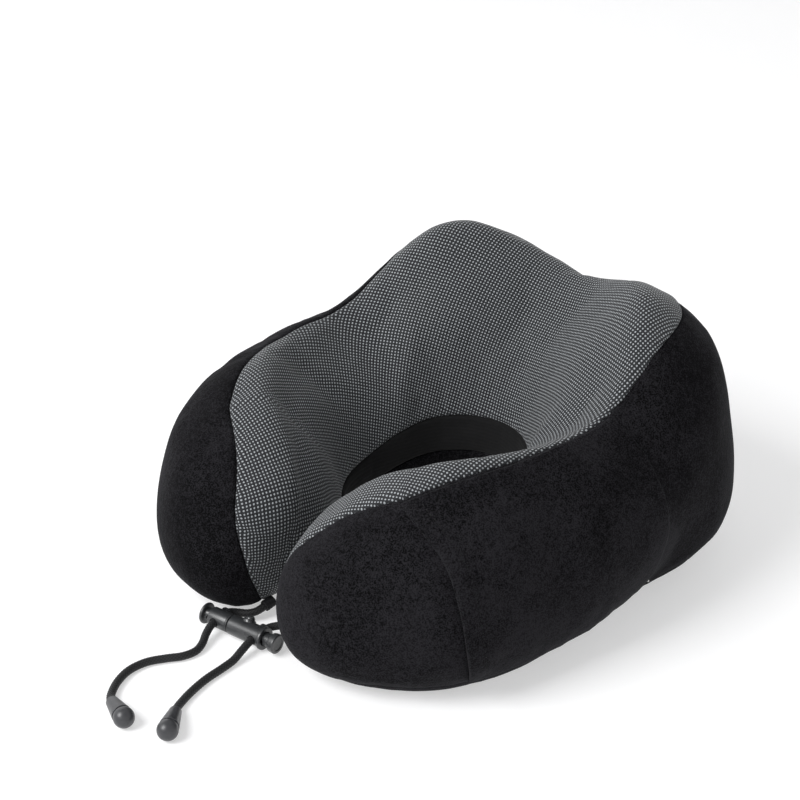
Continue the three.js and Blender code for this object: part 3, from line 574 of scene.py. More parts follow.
def spline(points, count):
    """count points evenly spaced along a smooth curve through points."""
    points = np.asarray(points, float)
    full = np.concatenate([[2 * points[0] - points[1]], points, [2 * points[-1] - points[-2]]])
    lengths = np.sqrt(np.linalg.norm(np.diff(full, axis=0), axis=1)) + 1e-9
    knots = np.concatenate([[0], np.cumsum(lengths)])
    dense = []
    for k in range(1, len(full) - 2):
        t = np.linspace(knots[k], knots[k + 1], 40, endpoint=k == len(full) - 3)[:, None]
        t0, t1, t2, t3 = knots[k - 1:k + 3]
        p0, p1, p2, p3 = full[k - 1:k + 3]
        a1 = (t1 - t) / (t1 - t0) * p0 + (t - t0) / (t1 - t0) * p1
        a2 = (t2 - t) / (t2 - t1) * p1 + (t - t1) / (t2 - t1) * p2
        a3 = (t3 - t) / (t3 - t2) * p2 + (t - t2) / (t3 - t2) * p3
        b1 = (t2 - t) / (t2 - t0) * a1 + (t - t0) / (t2 - t0) * a2
        b2 = (t3 - t) / (t3 - t1) * a2 + (t - t1) / (t3 - t1) * a3
        dense.append((t2 - t) / (t2 - t1) * b1 + (t - t1) / (t2 - t1) * b2)
    return resample(np.concatenate(dense), count)


def resample(points, shares):
    """Points at shares (or at that many even shares) of the length of a fine polyline."""
    shares = np.linspace(0, 1, shares) if isinstance(shares, int) else np.asarray(shares)
    run = np.concatenate([[0], np.cumsum(np.linalg.norm(np.diff(points, axis=0), axis=1))])
    return np.stack([np.interp(shares * run[-1], run, points[:, k]) for k in range(points.shape[1])], -1)


def angle_of(rho):
    """The angle along the arm, before the rounded end, from a chart radius."""
    return CAP_START * (1 - (np.asarray(rho) - 1) / BODY_SPAN)


def upper_seam(rho):
    """The place round the section of the seam between the knit and the velour."""
    return smooth_curve(SEAM_ANGLES, UPPER_SEAM, angle_of(rho))


def level(position):
    """A seam that keeps one place round the section."""
    return lambda rho: np.full(np.shape(rho), position)


def seam_path(position, end):
    """A seam's places on the chart from the corner at the tip to the middle of the back, and the
    positions round the section that they have along the body."""
    places = position(BODY_RHO)
    first = float(position(1.0))
    controls = [(1.2, position(1.2)), (1.0, first), *end, SEAM_CORNER]
    tip = spline([to_chart(rho, t) for rho, t in controls], 400)
    start = np.argmin(np.abs(np.linalg.norm(tip, axis=1) - 1))
    tip = resample(tip[start:][::-1], TIP_SHARES)
    tip[-1] = to_chart(1.0, first)
    chart = np.concatenate([tip, to_chart(BODY_RHO, places)])
    return chart, np.concatenate([np.full(TIP_ROWS, first), places])


SEAMS = {
    "upper": seam_path(upper_seam, UPPER_END),
    "neck": seam_path(level(NECK_SEAM), NECK_END),
    "curl": seam_path(level(CURL_SEAM), CURL_END),
    "zip": seam_path(level(ZIP_SEAM), ZIP_END),
}
ROW_SHARE = np.concatenate([TIP_SHARES, 1 + (BODY_RHO - 1)])


def zip_gap(rho):
    """How far each panel's edge stands back from the zip, in mm."""
    angle = np.where(rho > 1, angle_of(rho), CAP_START)
    return ZIP_OPENING * (1 - smoothstep(*ZIP_CLOSES, angle))


def row_lines(low, high, wind, shares):
    """Chart places on each row between two seams: arcs along the body, straight across the tip."""
    (start, start_t), (end, end_t) = SEAMS[low], SEAMS[high]
    end_t = end_t + wind * SECTION_POINTS
    v = shares[:, :, None] if shares.ndim == 2 else shares[None, :, None]
    straight = start[:, None] + (end - start)[:, None] * v
    start_radius, end_radius = (np.linalg.norm(edge, axis=1)[:, None] for edge in (start, end))
    radius = start_radius * (1 - v[..., 0]) + end_radius * v[..., 0]
    arc = to_chart(radius, start_t[:, None] * (1 - v[..., 0]) + end_t[:, None] * v[..., 0])
    weight = smoothstep(0.5, 1.0, ROW_SHARE)[:, None, None]
    return straight * (1 - weight) + arc * weight


class Panel:
    """A panel of the cover between two seams, sampled in rows from the right tip to the left one."""

    def __init__(self, low, high, columns, wind=0, low_gap=None, high_gap=None):
        rough = np.linspace(0, 1, 121)
        points = skin_at(row_lines(low, high, wind, rough))
        steps = np.linalg.norm(np.diff(points, axis=1), axis=2)
        run = np.concatenate([np.zeros((len(points), 1)), np.cumsum(steps, axis=1)], axis=1)
        rho = np.maximum(ROW_SHARE, 1)
        start = low_gap(rho) if low_gap else np.zeros(len(rho))
        stop = run[:, -1] - (high_gap(rho) if high_gap else 0)
        shares = np.empty((len(points), columns))
        self.low_distance = np.empty_like(shares)
        self.high_distance = np.empty_like(shares)
        for k, length in enumerate(stop - start):
            edge = EDGE_STEPS * min(1.0, 0.3 * length / EDGE_STEPS[-1])
            middle = np.linspace(edge[-1], length - edge[-1], columns - 2 * len(edge) + 2)[1:-1]
            at = np.concatenate([edge, middle, length - edge[::-1]])
            shares[k] = np.interp(at + start[k], run[k], rough)
            self.low_distance[k], self.high_distance[k] = at, length - at
        chart = row_lines(low, high, wind, shares)
        self.points = mirrored(skin_at(chart))
        self.normals = mirrored(skin_normals(chart))
        self.side = np.concatenate([np.ones(len(chart)), -np.ones(len(chart) - 1)])
        self.chart, self.low_distance, self.high_distance = (
            np.concatenate([half, half[-2::-1]]) for half in (chart, self.low_distance, self.high_distance))

    def pucker(self, column, distance):
        """The gathers beside the seam along one edge column."""
        wave = ripple(self.points[:, column], PUCKER_LENGTH, PUCKER_SEED)[:, None]
        return PUCKER * wave * np.exp(-distance / PUCKER_REACH)

    def relief(self):
        """Height over the smooth surface, in mm: seams sink in and gather the cloth beside them."""
        height = slack(self.chart, self.side, self.points)
        for distance, column in ((self.low_distance, 0), (self.high_distance, -1)):
            near = np.clip(1 - distance / SEAM_WIDTH, 0, 1)
            height -= SEAM_DEPTH * (1 - np.sqrt(1 - near**2 + 1e-12))
            height += self.pucker(column, distance) * smoothstep(0, 3, distance)
        return height

    def surface(self, depth=0.0):
        """The panel's outer face, or a face at a depth under it, kept off the floor."""
        out = self.points + self.normals * (self.relief() - depth)[..., None]
        out[..., 2] = np.maximum(out[..., 2], FLOOR_GAP + depth)
        return out

    def object(self, name):
        return orient_outward(shell_object(name, self.surface(), self.surface(COVER_THICKNESS)))


# ---------------------------------------------------------------- the cover's slack, by cloth simulation
SLACK_LIMIT = 2.6
SLACK_SHARE = 0.4  # part of the simulated slack that is left once the cover is pulled tight on the foam
SIM_COLUMNS, SIM_TIP_ROWS, SIM_BODY_ROWS = 60, 9, 46
SIM_FRAMES, PIN_REACH = 20, 4.5  # the cover is held within that many mm of a seam
SIM_RHO = np.concatenate([
    np.linspace(0.12, 1, SIM_TIP_ROWS), np.linspace(1, 1 + BODY_SPAN, SIM_BODY_ROWS + 1)[1:]])


def seam_points():
    """All the seams as points in mm, on both halves."""
    right = np.concatenate([skin_at(path) for path, _ in SEAMS.values()])
    return np.concatenate([right, right * [-1, 1, 1]])


def simulate_cover():
    """Inflates the sewn cover a little between its seams. Gives how far it then stands off the foam."""
    rho, t = np.meshgrid(SIM_RHO, np.arange(SIM_COLUMNS) * SECTION_POINTS / SIM_COLUMNS, indexing="ij")
    chart = to_chart(rho, t)
    points, normals = mirrored(skin_at(chart)), mirrored(skin_normals(chart))
    rows = len(points)
    start = points - normals * 0.8
    vertices = np.concatenate([start.reshape(-1, 3), start[[0, -1]].mean(1)])
    faces = grid_faces(rows, SIM_COLUMNS, wrap=True)
    ends = rows * SIM_COLUMNS
    for j in range(SIM_COLUMNS):
        k = (j + 1) % SIM_COLUMNS
        faces += [[ends, k, j], [ends + 1, ends - SIM_COLUMNS + j, ends - SIM_COLUMNS + k]]
    cloth_object = orient_kept(mesh_object("cover_simulation", place(vertices), faces))
    pins = cloth_object.vertex_groups.new(name="seams")
    seams = seam_points()
    for index, point in enumerate(vertices):
        gap = np.sqrt(((seams - point) ** 2).sum(1).min())
        if gap < PIN_REACH:
            pins.add([index], 1.0, "REPLACE")
    cloth = cloth_object.modifiers.new("cloth", "CLOTH")
    settings = cloth.settings
    settings.quality, settings.mass, settings.vertex_group_mass = 5, 0.25, "seams"
    settings.tension_stiffness = settings.compression_stiffness = 12
    settings.bending_stiffness = 0.4
    settings.use_pressure, settings.uniform_pressure_force = True, 4.0
    settings.effector_weights.gravity = 0
    settings.shrink_min = -0.03
    cloth.point_cache.frame_start, cloth.point_cache.frame_end = 1, SIM_FRAMES
    scene = bpy.context.scene
    for step in range(1, SIM_FRAMES + 1):
        scene.frame_set(step)
    graph = bpy.context.evaluated_depsgraph_get()
    result = cloth_object.evaluated_get(graph).to_mesh()
    moved = np.empty(len(vertices) * 3)
    result.vertices.foreach_get("co", moved)
    moved = moved.reshape(-1, 3)[:ends] / MM + ORIGIN
    scene.frame_set(1)
    bpy.data.objects.remove(cloth_object)
    lift = ((moved.reshape(points.shape) - points) * normals).sum(-1)
    print("cover simulation: lift from", lift.min().round(2), "to", lift.max().round(2), "mm")
    return SLACK_SHARE * SLACK_LIMIT * np.tanh(lift / SLACK_LIMIT)


def orient_kept(obj):
    """Makes all faces point outward without merging or reordering any vertices."""
    bm = bmesh.new()
    bm.from_mesh(obj.data)
    bmesh.ops.recalc_face_normals(bm, faces=bm.faces)
    bm.to_mesh(obj.data)
    bm.free()
    return obj


def slack(chart, side, points):
    """How far the cover stands off the smooth surface at chart places, in mm."""
    height = 0.35 * ripple(points, 55, 11) + 0.12 * ripple(points, 22, 12)
    if SLACK_GRID is None:
        return height
    rho = np.linalg.norm(chart, axis=-1)
    t = np.mod(np.arctan2(chart[..., 1], chart[..., 0]) * SIM_COLUMNS / (2 * math.pi), SIM_COLUMNS)
    row = np.interp(rho, SIM_RHO, np.arange(len(SIM_RHO)))
    row = np.where(side[:, None] > 0, row, len(SLACK_GRID) - 1 - row)
    i, j = np.floor(row).astype(int), np.floor(t).astype(int) % SIM_COLUMNS
    i, k = np.minimum(i, len(SLACK_GRID) - 2), (j + 1) % SIM_COLUMNS
    a, b = row - i, t - np.floor(t)
    near, far = ((1 - b) * SLACK_GRID[i + n, j] + b * SLACK_GRID[i + n, k] for n in (0, 1))
    return height + ((1 - a) * near + a * far)


SLACK_GRID = simulate_cover()

# ---------------------------------------------------------------- cover panels
KNIT_PITCH = 1.62  # mm between dots


def knit_grain(panel):
    """Lays the knit panel out flat. Gives each point's place along its grain, counted in dots."""
    row_step, column_step = 4, 3
    rows = np.unique(np.r_[np.arange(0, len(panel.points), row_step), len(panel.points) - 1])
    columns = np.unique(np.r_[np.arange(0, panel.points.shape[1], column_step), panel.points.shape[1] - 1])
    coarse = panel.points[np.ix_(rows, columns)]
    flat = mesh_object("grain_pattern", coarse, grid_faces(len(rows), len(columns)))
    bpy.context.view_layer.objects.active = flat
    bpy.ops.object.select_all(action="DESELECT")
    flat.select_set(True)
    bpy.ops.object.mode_set(mode="EDIT")
    bpy.ops.mesh.select_all(action="SELECT")
    bpy.ops.uv.unwrap(method="ANGLE_BASED", margin=0.0)
    bpy.ops.uv.unwrap(method="MINIMUM_STRETCH", margin=0.0, no_flip=True, iterations=60)
    bpy.ops.object.mode_set(mode="OBJECT")
    layer = flat.data.uv_layers.active.data
    pattern = np.zeros((len(rows) * len(columns), 2))
    for polygon in flat.data.polygons:
        for loop in polygon.loop_indices:
            pattern[flat.data.loops[loop].vertex_index] = layer[loop].uv
    pattern = pattern.reshape(len(rows), len(columns), 2)
    real, drawn = (sum(np.linalg.norm(np.diff(grid, axis=k), axis=2).sum() for k in (0, 1))
                   for grid in (coarse, pattern))
    pattern *= real / drawn / KNIT_PITCH
    middle = pattern[len(rows) // 2]
    axis = middle[0] - middle[-1]
    turn = math.atan2(axis[0], axis[1])
    c, s = math.cos(turn), math.sin(turn)
    pattern = (pattern - middle.mean(0)) @ np.array([[c, s], [-s, c]])
    bpy.data.objects.remove(flat)
    fine_rows, fine_columns = np.arange(len(panel.points)), np.arange(panel.points.shape[1])
    grain = []
    for flat_axis in range(2):
        lines = np.stack([np.interp(fine_rows, rows, column) for column in pattern[..., flat_axis].T], 1)
        grain.append(np.stack([np.interp(fine_columns, columns, line) for line in lines]))
    return np.stack(grain, -1)


def add_grain(obj, panel):
    """Stores the panel's grain on its finished mesh, from the nearest point of the panel."""
    flat_points, flat_grain = place(panel.surface()).reshape(-1, 3), knit_grain(panel).reshape(-1, 2)
    layer = obj.data.uv_layers.new(name="grain")
    tree = KDTree(len(flat_points))
    for index, point in enumerate(flat_points):
        tree.insert(point, index)
    tree.balance()
    nearest = np.array([tree.find(v.co)[1] for v in obj.data.vertices])
    loops = np.empty(len(obj.data.loops), int)
    obj.data.loops.foreach_get("vertex_index", loops)
    layer.data.foreach_set("uv", flat_grain[nearest[loops]].astype(np.float32).ravel())


top = Panel("upper", "neck", 86)
side = Panel("zip", "upper", 76, low_gap=zip_gap)
band = Panel("neck", "curl", 24)
base = Panel("curl", "zip", 76, wind=1, high_gap=zip_gap)

COVER = [
    ("knit_top", top, "dotted_knit", "cover_top_panel"),
    ("velour_side", side, "velour", "cover_side_panel"),
    ("neck_band", band, "neck_knit", "cover_neck_band"),
    ("velour_base", base, "velour", "cover_base_panel"),
]
for piece, panel, slot, node in COVER:
    cover = panel.object(piece)
    if slot == "dotted_knit":
        add_grain(cover, panel)
    fit(cover, PILLOW, slot, node)


# ---------------------------------------------------------------- foam and liner, under the cover
CORE_RHO = np.concatenate([np.linspace(0.1, 1, 10), np.linspace(1, 1 + BODY_SPAN, 53)[1:]])
CORE_COLUMNS = 72
FOAM_DEPTH, LINER_OUTSIDE, LINER_INSIDE = 6.4, 4.0, 4.7  # mm under the cover's outer face


def inner_rings(depth):
    """Rings round the whole pillow at a depth under its surface."""
    rho, t = np.meshgrid(CORE_RHO, np.arange(CORE_COLUMNS) * SECTION_POINTS / CORE_COLUMNS, indexing="ij")
    chart = to_chart(rho, t)
    sunk = mirrored(skin_at(chart) - skin_normals(chart) * depth)
    sunk[..., 2] = np.maximum(sunk[..., 2], depth)
    return sunk


def foam_core():
    rings = inner_rings(FOAM_DEPTH)
    rows = len(rings)
    faces = grid_faces(rows, CORE_COLUMNS, wrap=True)
    faces += [list(range(CORE_COLUMNS)), list(range((rows - 1) * CORE_COLUMNS, rows * CORE_COLUMNS))]
    core = orient_outward(mesh_object("memory_foam_core", place(rings), faces))
    fit(core, PILLOW, "foam", "foam_core")


def inner_liner():
    outer, inner = place(inner_rings(LINER_OUTSIDE)), place(inner_rings(LINER_INSIDE))
    liner = sleeve_object("foam_liner", outer, inner)
    fit(liner, PILLOW, "liner", "inner_liner")


foam_core()
inner_liner()


# ---------------------------------------------------------------- thread
def stitch_mesh(name, path, ups, length=2.3, pitch=3.1, width=0.5, lift=0.12):
    """Separate stitches lying along a path in mm; each end dives into the cloth."""
    run = np.concatenate([[0], np.cumsum(np.linalg.norm(np.diff(path, axis=0), axis=1))])
    rings, sides, vertices, faces = 7, 8, [], []
    for start in np.arange(0.4, run[-1] - length, pitch):
        share = (start + length * np.linspace(0, 1, rings)) / run[-1]
        centre, up = resample(path, share), resample_like(ups, run, share)
        bow = np.sin(np.linspace(0, math.pi, rings))
        centre = centre + up * (lift - width * 0.75 * (1 - bow))[:, None]
        across = unit(np.cross(np.gradient(centre, axis=0), up))
        thickness = width / 2 * (0.45 + 0.55 * bow)
        points, quads = tube_part(centre, across, up, thickness, sides, len(vertices))
        vertices += list(points)
        faces += quads
    return orient_outward(mesh_object(name, place(vertices), faces))


def resample_like(values, run, shares):
    """Unit vectors at shares of the length of a polyline, from those at its points."""
    return unit(np.stack([np.interp(shares * run[-1], run, values[:, k]) for k in range(3)], -1))


# ---------------------------------------------------------------- pocket
HEM_WIDTH, HEM_STITCHES = 9.5, 8.1  # mm from the mouth


def uneven(stops, counts):
    """Values from the first stop to the last, with a given number of steps between each two."""
    spans = [np.linspace(a, b, n + 1)[1:] for a, b, n in zip(stops, stops[1:], counts)]
    return np.concatenate([[stops[0]], *spans])


def pocket_surface():
    """Outer and inner face of the pocket, as grids from its rear seam to its mouth."""
    across = uneven((0, 0.06, 0.84, 1), (6, 45, 25))
    up = uneven((0, 0.06, 0.93, 1), (6, 51, 7))
    a, u = np.meshgrid(across, up, indexing="ij")
    mouth = smooth_curve(POCKET_MOUTH_AT, POCKET_MOUTH, u)
    angle = POCKET_REAR + (mouth - POCKET_REAR) * a
    rho = rho_of(angle)
    highest = upper_seam(rho) - 0.02
    chart = to_chart(rho, POCKET_BOTTOM - 0.06 + (highest - POCKET_BOTTOM + 0.06) * u)
    points, normals = skin_at(chart), skin_normals(chart)
    from_mouth = np.cumsum(np.linalg.norm(np.diff(points[::-1], axis=0), axis=2), axis=0)
    from_mouth = np.concatenate([np.zeros((1, len(up))), from_mouth])[::-1]
    from_rear = from_mouth[0] - from_mouth
    rise = np.cumsum(np.linalg.norm(np.diff(points, axis=1), axis=2), axis=1)
    rise = np.concatenate([np.zeros((len(across), 1)), rise], axis=1)
    from_edge = np.minimum(rise, rise[:, -1:] - rise)
    held = smoothstep(0, 22, from_edge)
    sewn = smoothstep(0, 3.2, from_edge) * smoothstep(0, 2.6, from_rear)
    base = slack(chart, np.ones(len(across)), points)
    hem = smoothstep(HEM_WIDTH + 0.9, HEM_WIDTH - 0.5, from_mouth)
    stitched = np.exp(-((from_mouth - HEM_STITCHES) / 0.75) ** 2)
    gape = held * (1.15 * np.exp(-from_mouth / 9) + 0.35 * np.exp(-from_mouth / 40))
    gape += 0.3 * held * ripple(points, 30, 21) * np.exp(-from_mouth / 25)
    folds = 0.25 * ripple(points * [1, 1, 0.45], 34, 22) * smoothstep(0, 15, from_rear) * held
    fold_round = 0.8 * (1 - np.sqrt(1 - np.clip(1 - from_mouth / 1.3, 0, 1) ** 2 + 1e-9))
    gathers = 0.16 * ripple(points, 5.5, 23) * np.exp(-from_edge / 4)
    under = base + 0.25 + np.maximum(gape + folds, 0) * sewn
    outer = under + 1.25 + 0.75 * hem * held - 0.75 * stitched * held - fold_round + gathers * sewn
    outer = outer * sewn + (base - 1.0) * (1 - sewn)
    inner = np.minimum(under, outer - 0.5) + fold_round * 0.6 * sewn
    inner = np.minimum(inner, outer - 0.35)
    outside, inside = (points + normals * height[..., None] for height in (outer, inner))
    return outside, inside, normals, from_mouth, from_edge


def pocket():
    """The pocket's panel, the stitches of its hem and the bar tack at its lower rear corner."""
    outer, inner, normals, from_mouth, from_edge = pocket_surface()
    panel = orient_outward(shell_object("side_pocket", outer, inner))
    fit(panel, PILLOW, "velour", "pocket_panel")
    columns = [k for k in range(outer.shape[1]) if from_edge[-1, k] > 2.0]
    rows = [int(np.argmin(np.abs(from_mouth[:, k] - HEM_STITCHES))) for k in columns]
    line = np.array([interpolate_row(outer[:, k], from_mouth[:, k], HEM_STITCHES) for k in columns])
    ups = np.array([normals[i, k] for i, k in zip(rows, columns)])
    thread = stitch_mesh("pocket_hem_stitches", resample(line, 120), resample(ups, 120), lift=0.02)
    fit(thread, PILLOW, "neck_knit")
    tack_up = normals[3, [9, 12]]
    tack = outer[3, [9, 12]] + tack_up * 0.1
    bar = stitch_mesh("pocket_tack", resample(tack, 10), resample(tack_up, 10), 1.6, 9, 0.7, 0.35)
    fit(bar, PILLOW, "liner")


def interpolate_row(points, distance, at):
    """The point of a row that is at a given distance."""
    order = np.argsort(distance)
    return np.array([np.interp(at, distance[order], points[order, k]) for k in range(3)])


pocket()


# ---------------------------------------------------------------- zip
FACING_HALF_ANGLE, FACING_DEPTH = 54.0, 1.0


def zip_points(angle, across, above):
    """Places on the zip in mm: angle along its arc, distance across the tape, height over its face."""
    out, up = ZIP_TILT
    radius = ZIP_RADIUS + np.asarray(across) * out + np.asarray(above) * up
    theta = np.radians(angle)
    height = ZIP_HEIGHT + np.asarray(across) * up - np.asarray(above) * out
    x, y = radius * np.sin(theta), ZIP_CENTRE_Y + radius * np.cos(theta)
    return np.stack(np.broadcast_arrays(x, y, height), -1)


def zip_tape(name, node, sign):
    """One woven tape: a rib where it meets the coil, and an edge that bends down to the panel."""
    angles = np.linspace(-ZIP_HALF_ANGLE, ZIP_HALF_ANGLE, 260)
    across = sign * np.array([1.75, 1.95, 2.3, 2.7, 3.4, 4.2, 4.9, 5.5, 6.1, 6.6])
    lift = np.array([-0.55, -0.4, -0.4, -0.5, -0.52, -0.55, -0.75, -1.1, -1.7, -2.3])
    a, w = np.meshgrid(angles, across, indexing="ij")
    wave = 0.12 * ripple(np.stack([a, w], -1), 3.0, 31)
    front = zip_points(a, w, lift + wave)
    back = zip_points(a, w, lift + wave - 0.55)
    tape = orient_outward(shell_object(name, front, back))
    fit(tape, PILLOW, "zip_tape", node)
    path_angles = np.linspace(-ZIP_HALF_ANGLE + 0.5, ZIP_HALF_ANGLE - 0.5, 200)
    for row, offset in (("inner", 2.15), ("outer", 4.9)):
        path = zip_points(path_angles, sign * offset, -0.42)
        ups = zip_points(path_angles, sign * offset, 1.0) - zip_points(path_angles, sign * offset, 0.0)
        thread = stitch_mesh(f"{name}_{row}_stitches", path, ups, 1.9, 2.6, 0.38, 0.1)
        fit(thread, PILLOW, "zip_tape")


def zip_facing():
    """The strip of cloth behind the zip that both panels are hemmed onto."""
    turn = np.degrees(np.arctan2(side.points[:, 0, 0], side.points[:, 0, 1] - ZIP_CENTRE_Y))
    rows = np.flatnonzero(np.abs(turn) < FACING_HALF_ANGLE)
    seam = SEAMS["zip"][0]
    middle = mirrored(skin_at(seam) - skin_normals(seam) * FACING_DEPTH)
    upper, lower = side.surface(FACING_DEPTH + 0.25), base.surface(FACING_DEPTH + 0.25)
    lines = []
    for k in rows:
        above = [interpolate_row(upper[k], side.low_distance[k], at) for at in (4.0, 2.0, 0.3)]
        below = [interpolate_row(lower[k], base.high_distance[k], at) for at in (0.3, 2.0, 4.0)]
        lines.append([*above, middle[k], *below])
    front = np.array(lines)
    strip = orient_outward(shell_object("zip_facing", front, front + [0, -0.25, 0.25]))
    fit(strip, PILLOW, "velour")


def zip_coil():
    """Two rows of nylon loops that close into each other."""
    pitch, per_turn, sides, wire = 1.3, 12, 6, 0.27
    reach = ZIP_HALF_ANGLE - 1.9
    turns = int(2 * math.radians(reach) * ZIP_RADIUS / pitch)
    vertices, faces = [], []
    for sign in (-1, 1):
        turn = np.arange(turns * per_turn + 1) / per_turn
        phase = turn * 2 * math.pi
        squeeze = np.cos(phase)
        across = sign * (0.62 - 0.92 * np.sign(squeeze) * np.abs(squeeze) ** 0.8)
        above = -0.45 + 0.42 * np.sin(phase)
        along = -reach + 2 * reach * (turn + (0.25 if sign > 0 else -0.25)) / turns
        centre = zip_points(along, across, above)
        forward = unit(np.gradient(centre, axis=0))
        outward = zip_points(along, 0, 1) - zip_points(along, 0, 0)
        a = unit(np.cross(forward, outward))
        points, quads = tube_part(centre, a, np.cross(a, forward), wire, sides, len(vertices))
        vertices += list(points)
        faces += quads
    coil = orient_outward(mesh_object("zip_coil", place(vertices), faces))
    fit(coil, PILLOW, "zip_coil", "zip_chain")


def rounded_plate(name, outline, holes, low, high, bevel=0.18):
    """A flat plate in its own frame from an outline and holes in mm, with rounded edges."""
    curve = bpy.data.curves.new(name, "CURVE")
    curve.dimensions, curve.fill_mode = "2D", "BOTH"
    curve.extrude, curve.bevel_depth, curve.bevel_resolution = (high - low) / 2 - bevel, bevel, 3
    for loop in [outline, *holes]:
        line = curve.splines.new("POLY")
        line.points.add(len(loop) - 1)
        for point, (x, y) in zip(line.points, loop):
            point.co = (x, y, 0, 1)
        line.use_cyclic_u = True
    drawn = new_object(name, curve)
    mesh = bpy.data.meshes.new_from_object(drawn.evaluated_get(bpy.context.evaluated_depsgraph_get()))
    bpy.data.objects.remove(drawn)
    mesh.transform(Matrix.Translation((0, 0, (low + high) / 2)))
    return new_object(name, mesh)


def round_rect(x0, x1, y0, y1, radius, steps=6):
    """The outline of a rectangle with round corners."""
    left, right, front, back = x0 + radius, x1 - radius, y0 + radius, y1 - radius
    outline = []
    for x, y, start in ((right, back, 0), (left, back, 90), (left, front, 180), (right, front, 270)):
        turns = [math.radians(start + 90 * k / steps) for k in range(steps + 1)]
        outline += [(x + radius * math.cos(a), y + radius * math.sin(a)) for a in turns]
    return outline


def zip_matrix(angle):
    """The frame of a piece on the zip: x along it, y across, z out of its face."""
    origin = zip_points(angle, 0, 0)
    across, above = zip_points(angle, 1, 0) - origin, zip_points(angle, 0, 1) - origin
    along = np.cross(across, above)
    matrix = np.eye(4)
    matrix[:3, 0], matrix[:3, 1], matrix[:3, 2], matrix[:3, 3] = along, across, above, origin
    return matrix


def set_down(obj, matrix):
    """Moves a piece made in its own frame in mm to its place in the model."""
    world = Matrix.Scale(MM, 4) @ Matrix.Translation(-Vector(ORIGIN)) @ Matrix(matrix.tolist())
    obj.data.transform(world)
    return obj


def join(name, objects):
    """One object from several, which are deleted."""
    bm = bmesh.new()
    for obj in objects:
        bm.from_mesh(obj.data)
        bpy.data.objects.remove(obj)
    mesh = bpy.data.meshes.new(name)
    bm.to_mesh(mesh)
    bm.free()
    return orient_outward(new_object(name, mesh))


def arch_line(half, foot, spring, rise, count):
    """An arch: two legs from foot up to spring, and a half ellipse over them."""
    bow = [(-half * math.cos(a), spring + rise * math.sin(a)) for a in np.linspace(0, math.pi, count)]
    return [(-half, foot), *bow, (half, foot)]


def zip_slider():
    """The slider: a plate that narrows to its nose, two flanges and the arch for the tab."""
    half, side_at = 4.5, 3.3
    nose = [(half * math.cos(a), side_at * math.sin(a)) for a in np.linspace(-0.9, 0.9, 9)]
    plate_outline = [
        (-half, -side_at + 0.8), (-half + 0.8, -side_at), *nose, (-half + 0.8, side_at),
        (-half, side_at - 0.8), (-half, 0.9), (-half + 1.6, 0), (-half, -0.9)]
    top = rounded_plate("slider_top", plate_outline, [], SLIDER_TOP - 0.95, SLIDER_TOP)
    parts = [top]
    for sign in (-1, 1):
        y0, y1 = sorted((sign * 1.95, sign * side_at))
        flange = round_rect(-half, half - 0.8, y0, y1, 0.4)
        parts.append(rounded_plate("slider_flange", flange, [], -0.1, SLIDER_TOP - 0.7))
    outline, hole = arch_line(2.1, 0, 1.7, 1.4, 14), arch_line(1.15, 0.45, 1.55, 0.8, 12)
    arch = rounded_plate("slider_arch", outline, [hole], -0.6, 0.6, 0.15)
    arch.data.transform(Matrix.Translation((0, 0, SLIDER_TOP)) @ Matrix.Rotation(math.pi / 2, 4, "X"))
    parts.append(arch)
    slider = soften(join("zip_slider_body", parts), 40)
    set_down(slider, zip_matrix(SLIDER_ANGLE))
    fit(slider, "zip_slider", "zip_metal", "zip_slider")


def zip_pull_tab():
    """The pull tab, with a window round the arch and a hole at its grip."""
    middle = SLIDER_TOP + HINGE_HEIGHT
    outline = round_rect(-TAB_LENGTH, 0.45, -2.3, 2.3, 1.1)
    window = round_rect(-3.4, -0.45, -1.1, 1.1, 0.4)
    grip = round_rect(-TAB_LENGTH + 1.3, -TAB_LENGTH + 4.3, -1.1, 1.1, 1.0)
    plate = rounded_plate("zip_pull", outline, [window, grip], middle - 0.45, middle + 0.45)
    tab = soften(orient_outward(plate), 40)
    set_down(tab, zip_matrix(SLIDER_ANGLE))
    fit(tab, "zip_pull_tab", "zip_metal", "zip_pull_tab")


def zip_stop(name, node, angle):
    """A metal staple at one end of the chain."""
    plate = rounded_plate(name, round_rect(-0.9, 0.9, -1.5, 1.5, 0.35), [], -1.5, 0.5, 0.25)
    stop = soften(orient_outward(plate), 40)
    set_down(stop, zip_matrix(angle))
    fit(stop, PILLOW, "zip_metal", node)


zip_tape("zip_tape_top", "zip_tape_upper", 1)
zip_tape("zip_tape_bottom", "zip_tape_lower", -1)
zip_facing()
zip_coil()
zip_slider()
zip_pull_tab()
zip_stop("zip_end_stop", "zip_top_stop", ZIP_HALF_ANGLE - 0.9)
zip_stop("zip_start_stop", "zip_bottom_stop", -ZIP_HALF_ANGLE + 0.9)


# ---------------------------------------------------------------- cord lock
def rounded(points, radius):
    """A profile of (x, radius) points with its corners rounded."""
    points, steps = [np.array(p, float) for p in points], 4
    out = [points[0]]
    for before, corner, after in zip(points, points[1:], points[2:]):
        into, away = corner - before, after - corner
        r = min(radius, 0.45 * np.linalg.norm(into), 0.45 * np.linalg.norm(away))
        a = corner - into / np.linalg.norm(into) * r
        b = corner + away / np.linalg.norm(away) * r
        for k in range(steps + 1):
            t = k / steps
            out.append((1 - t) ** 2 * a + 2 * t * (1 - t) * corner + t * t * b)
    return out + [points[-1]]


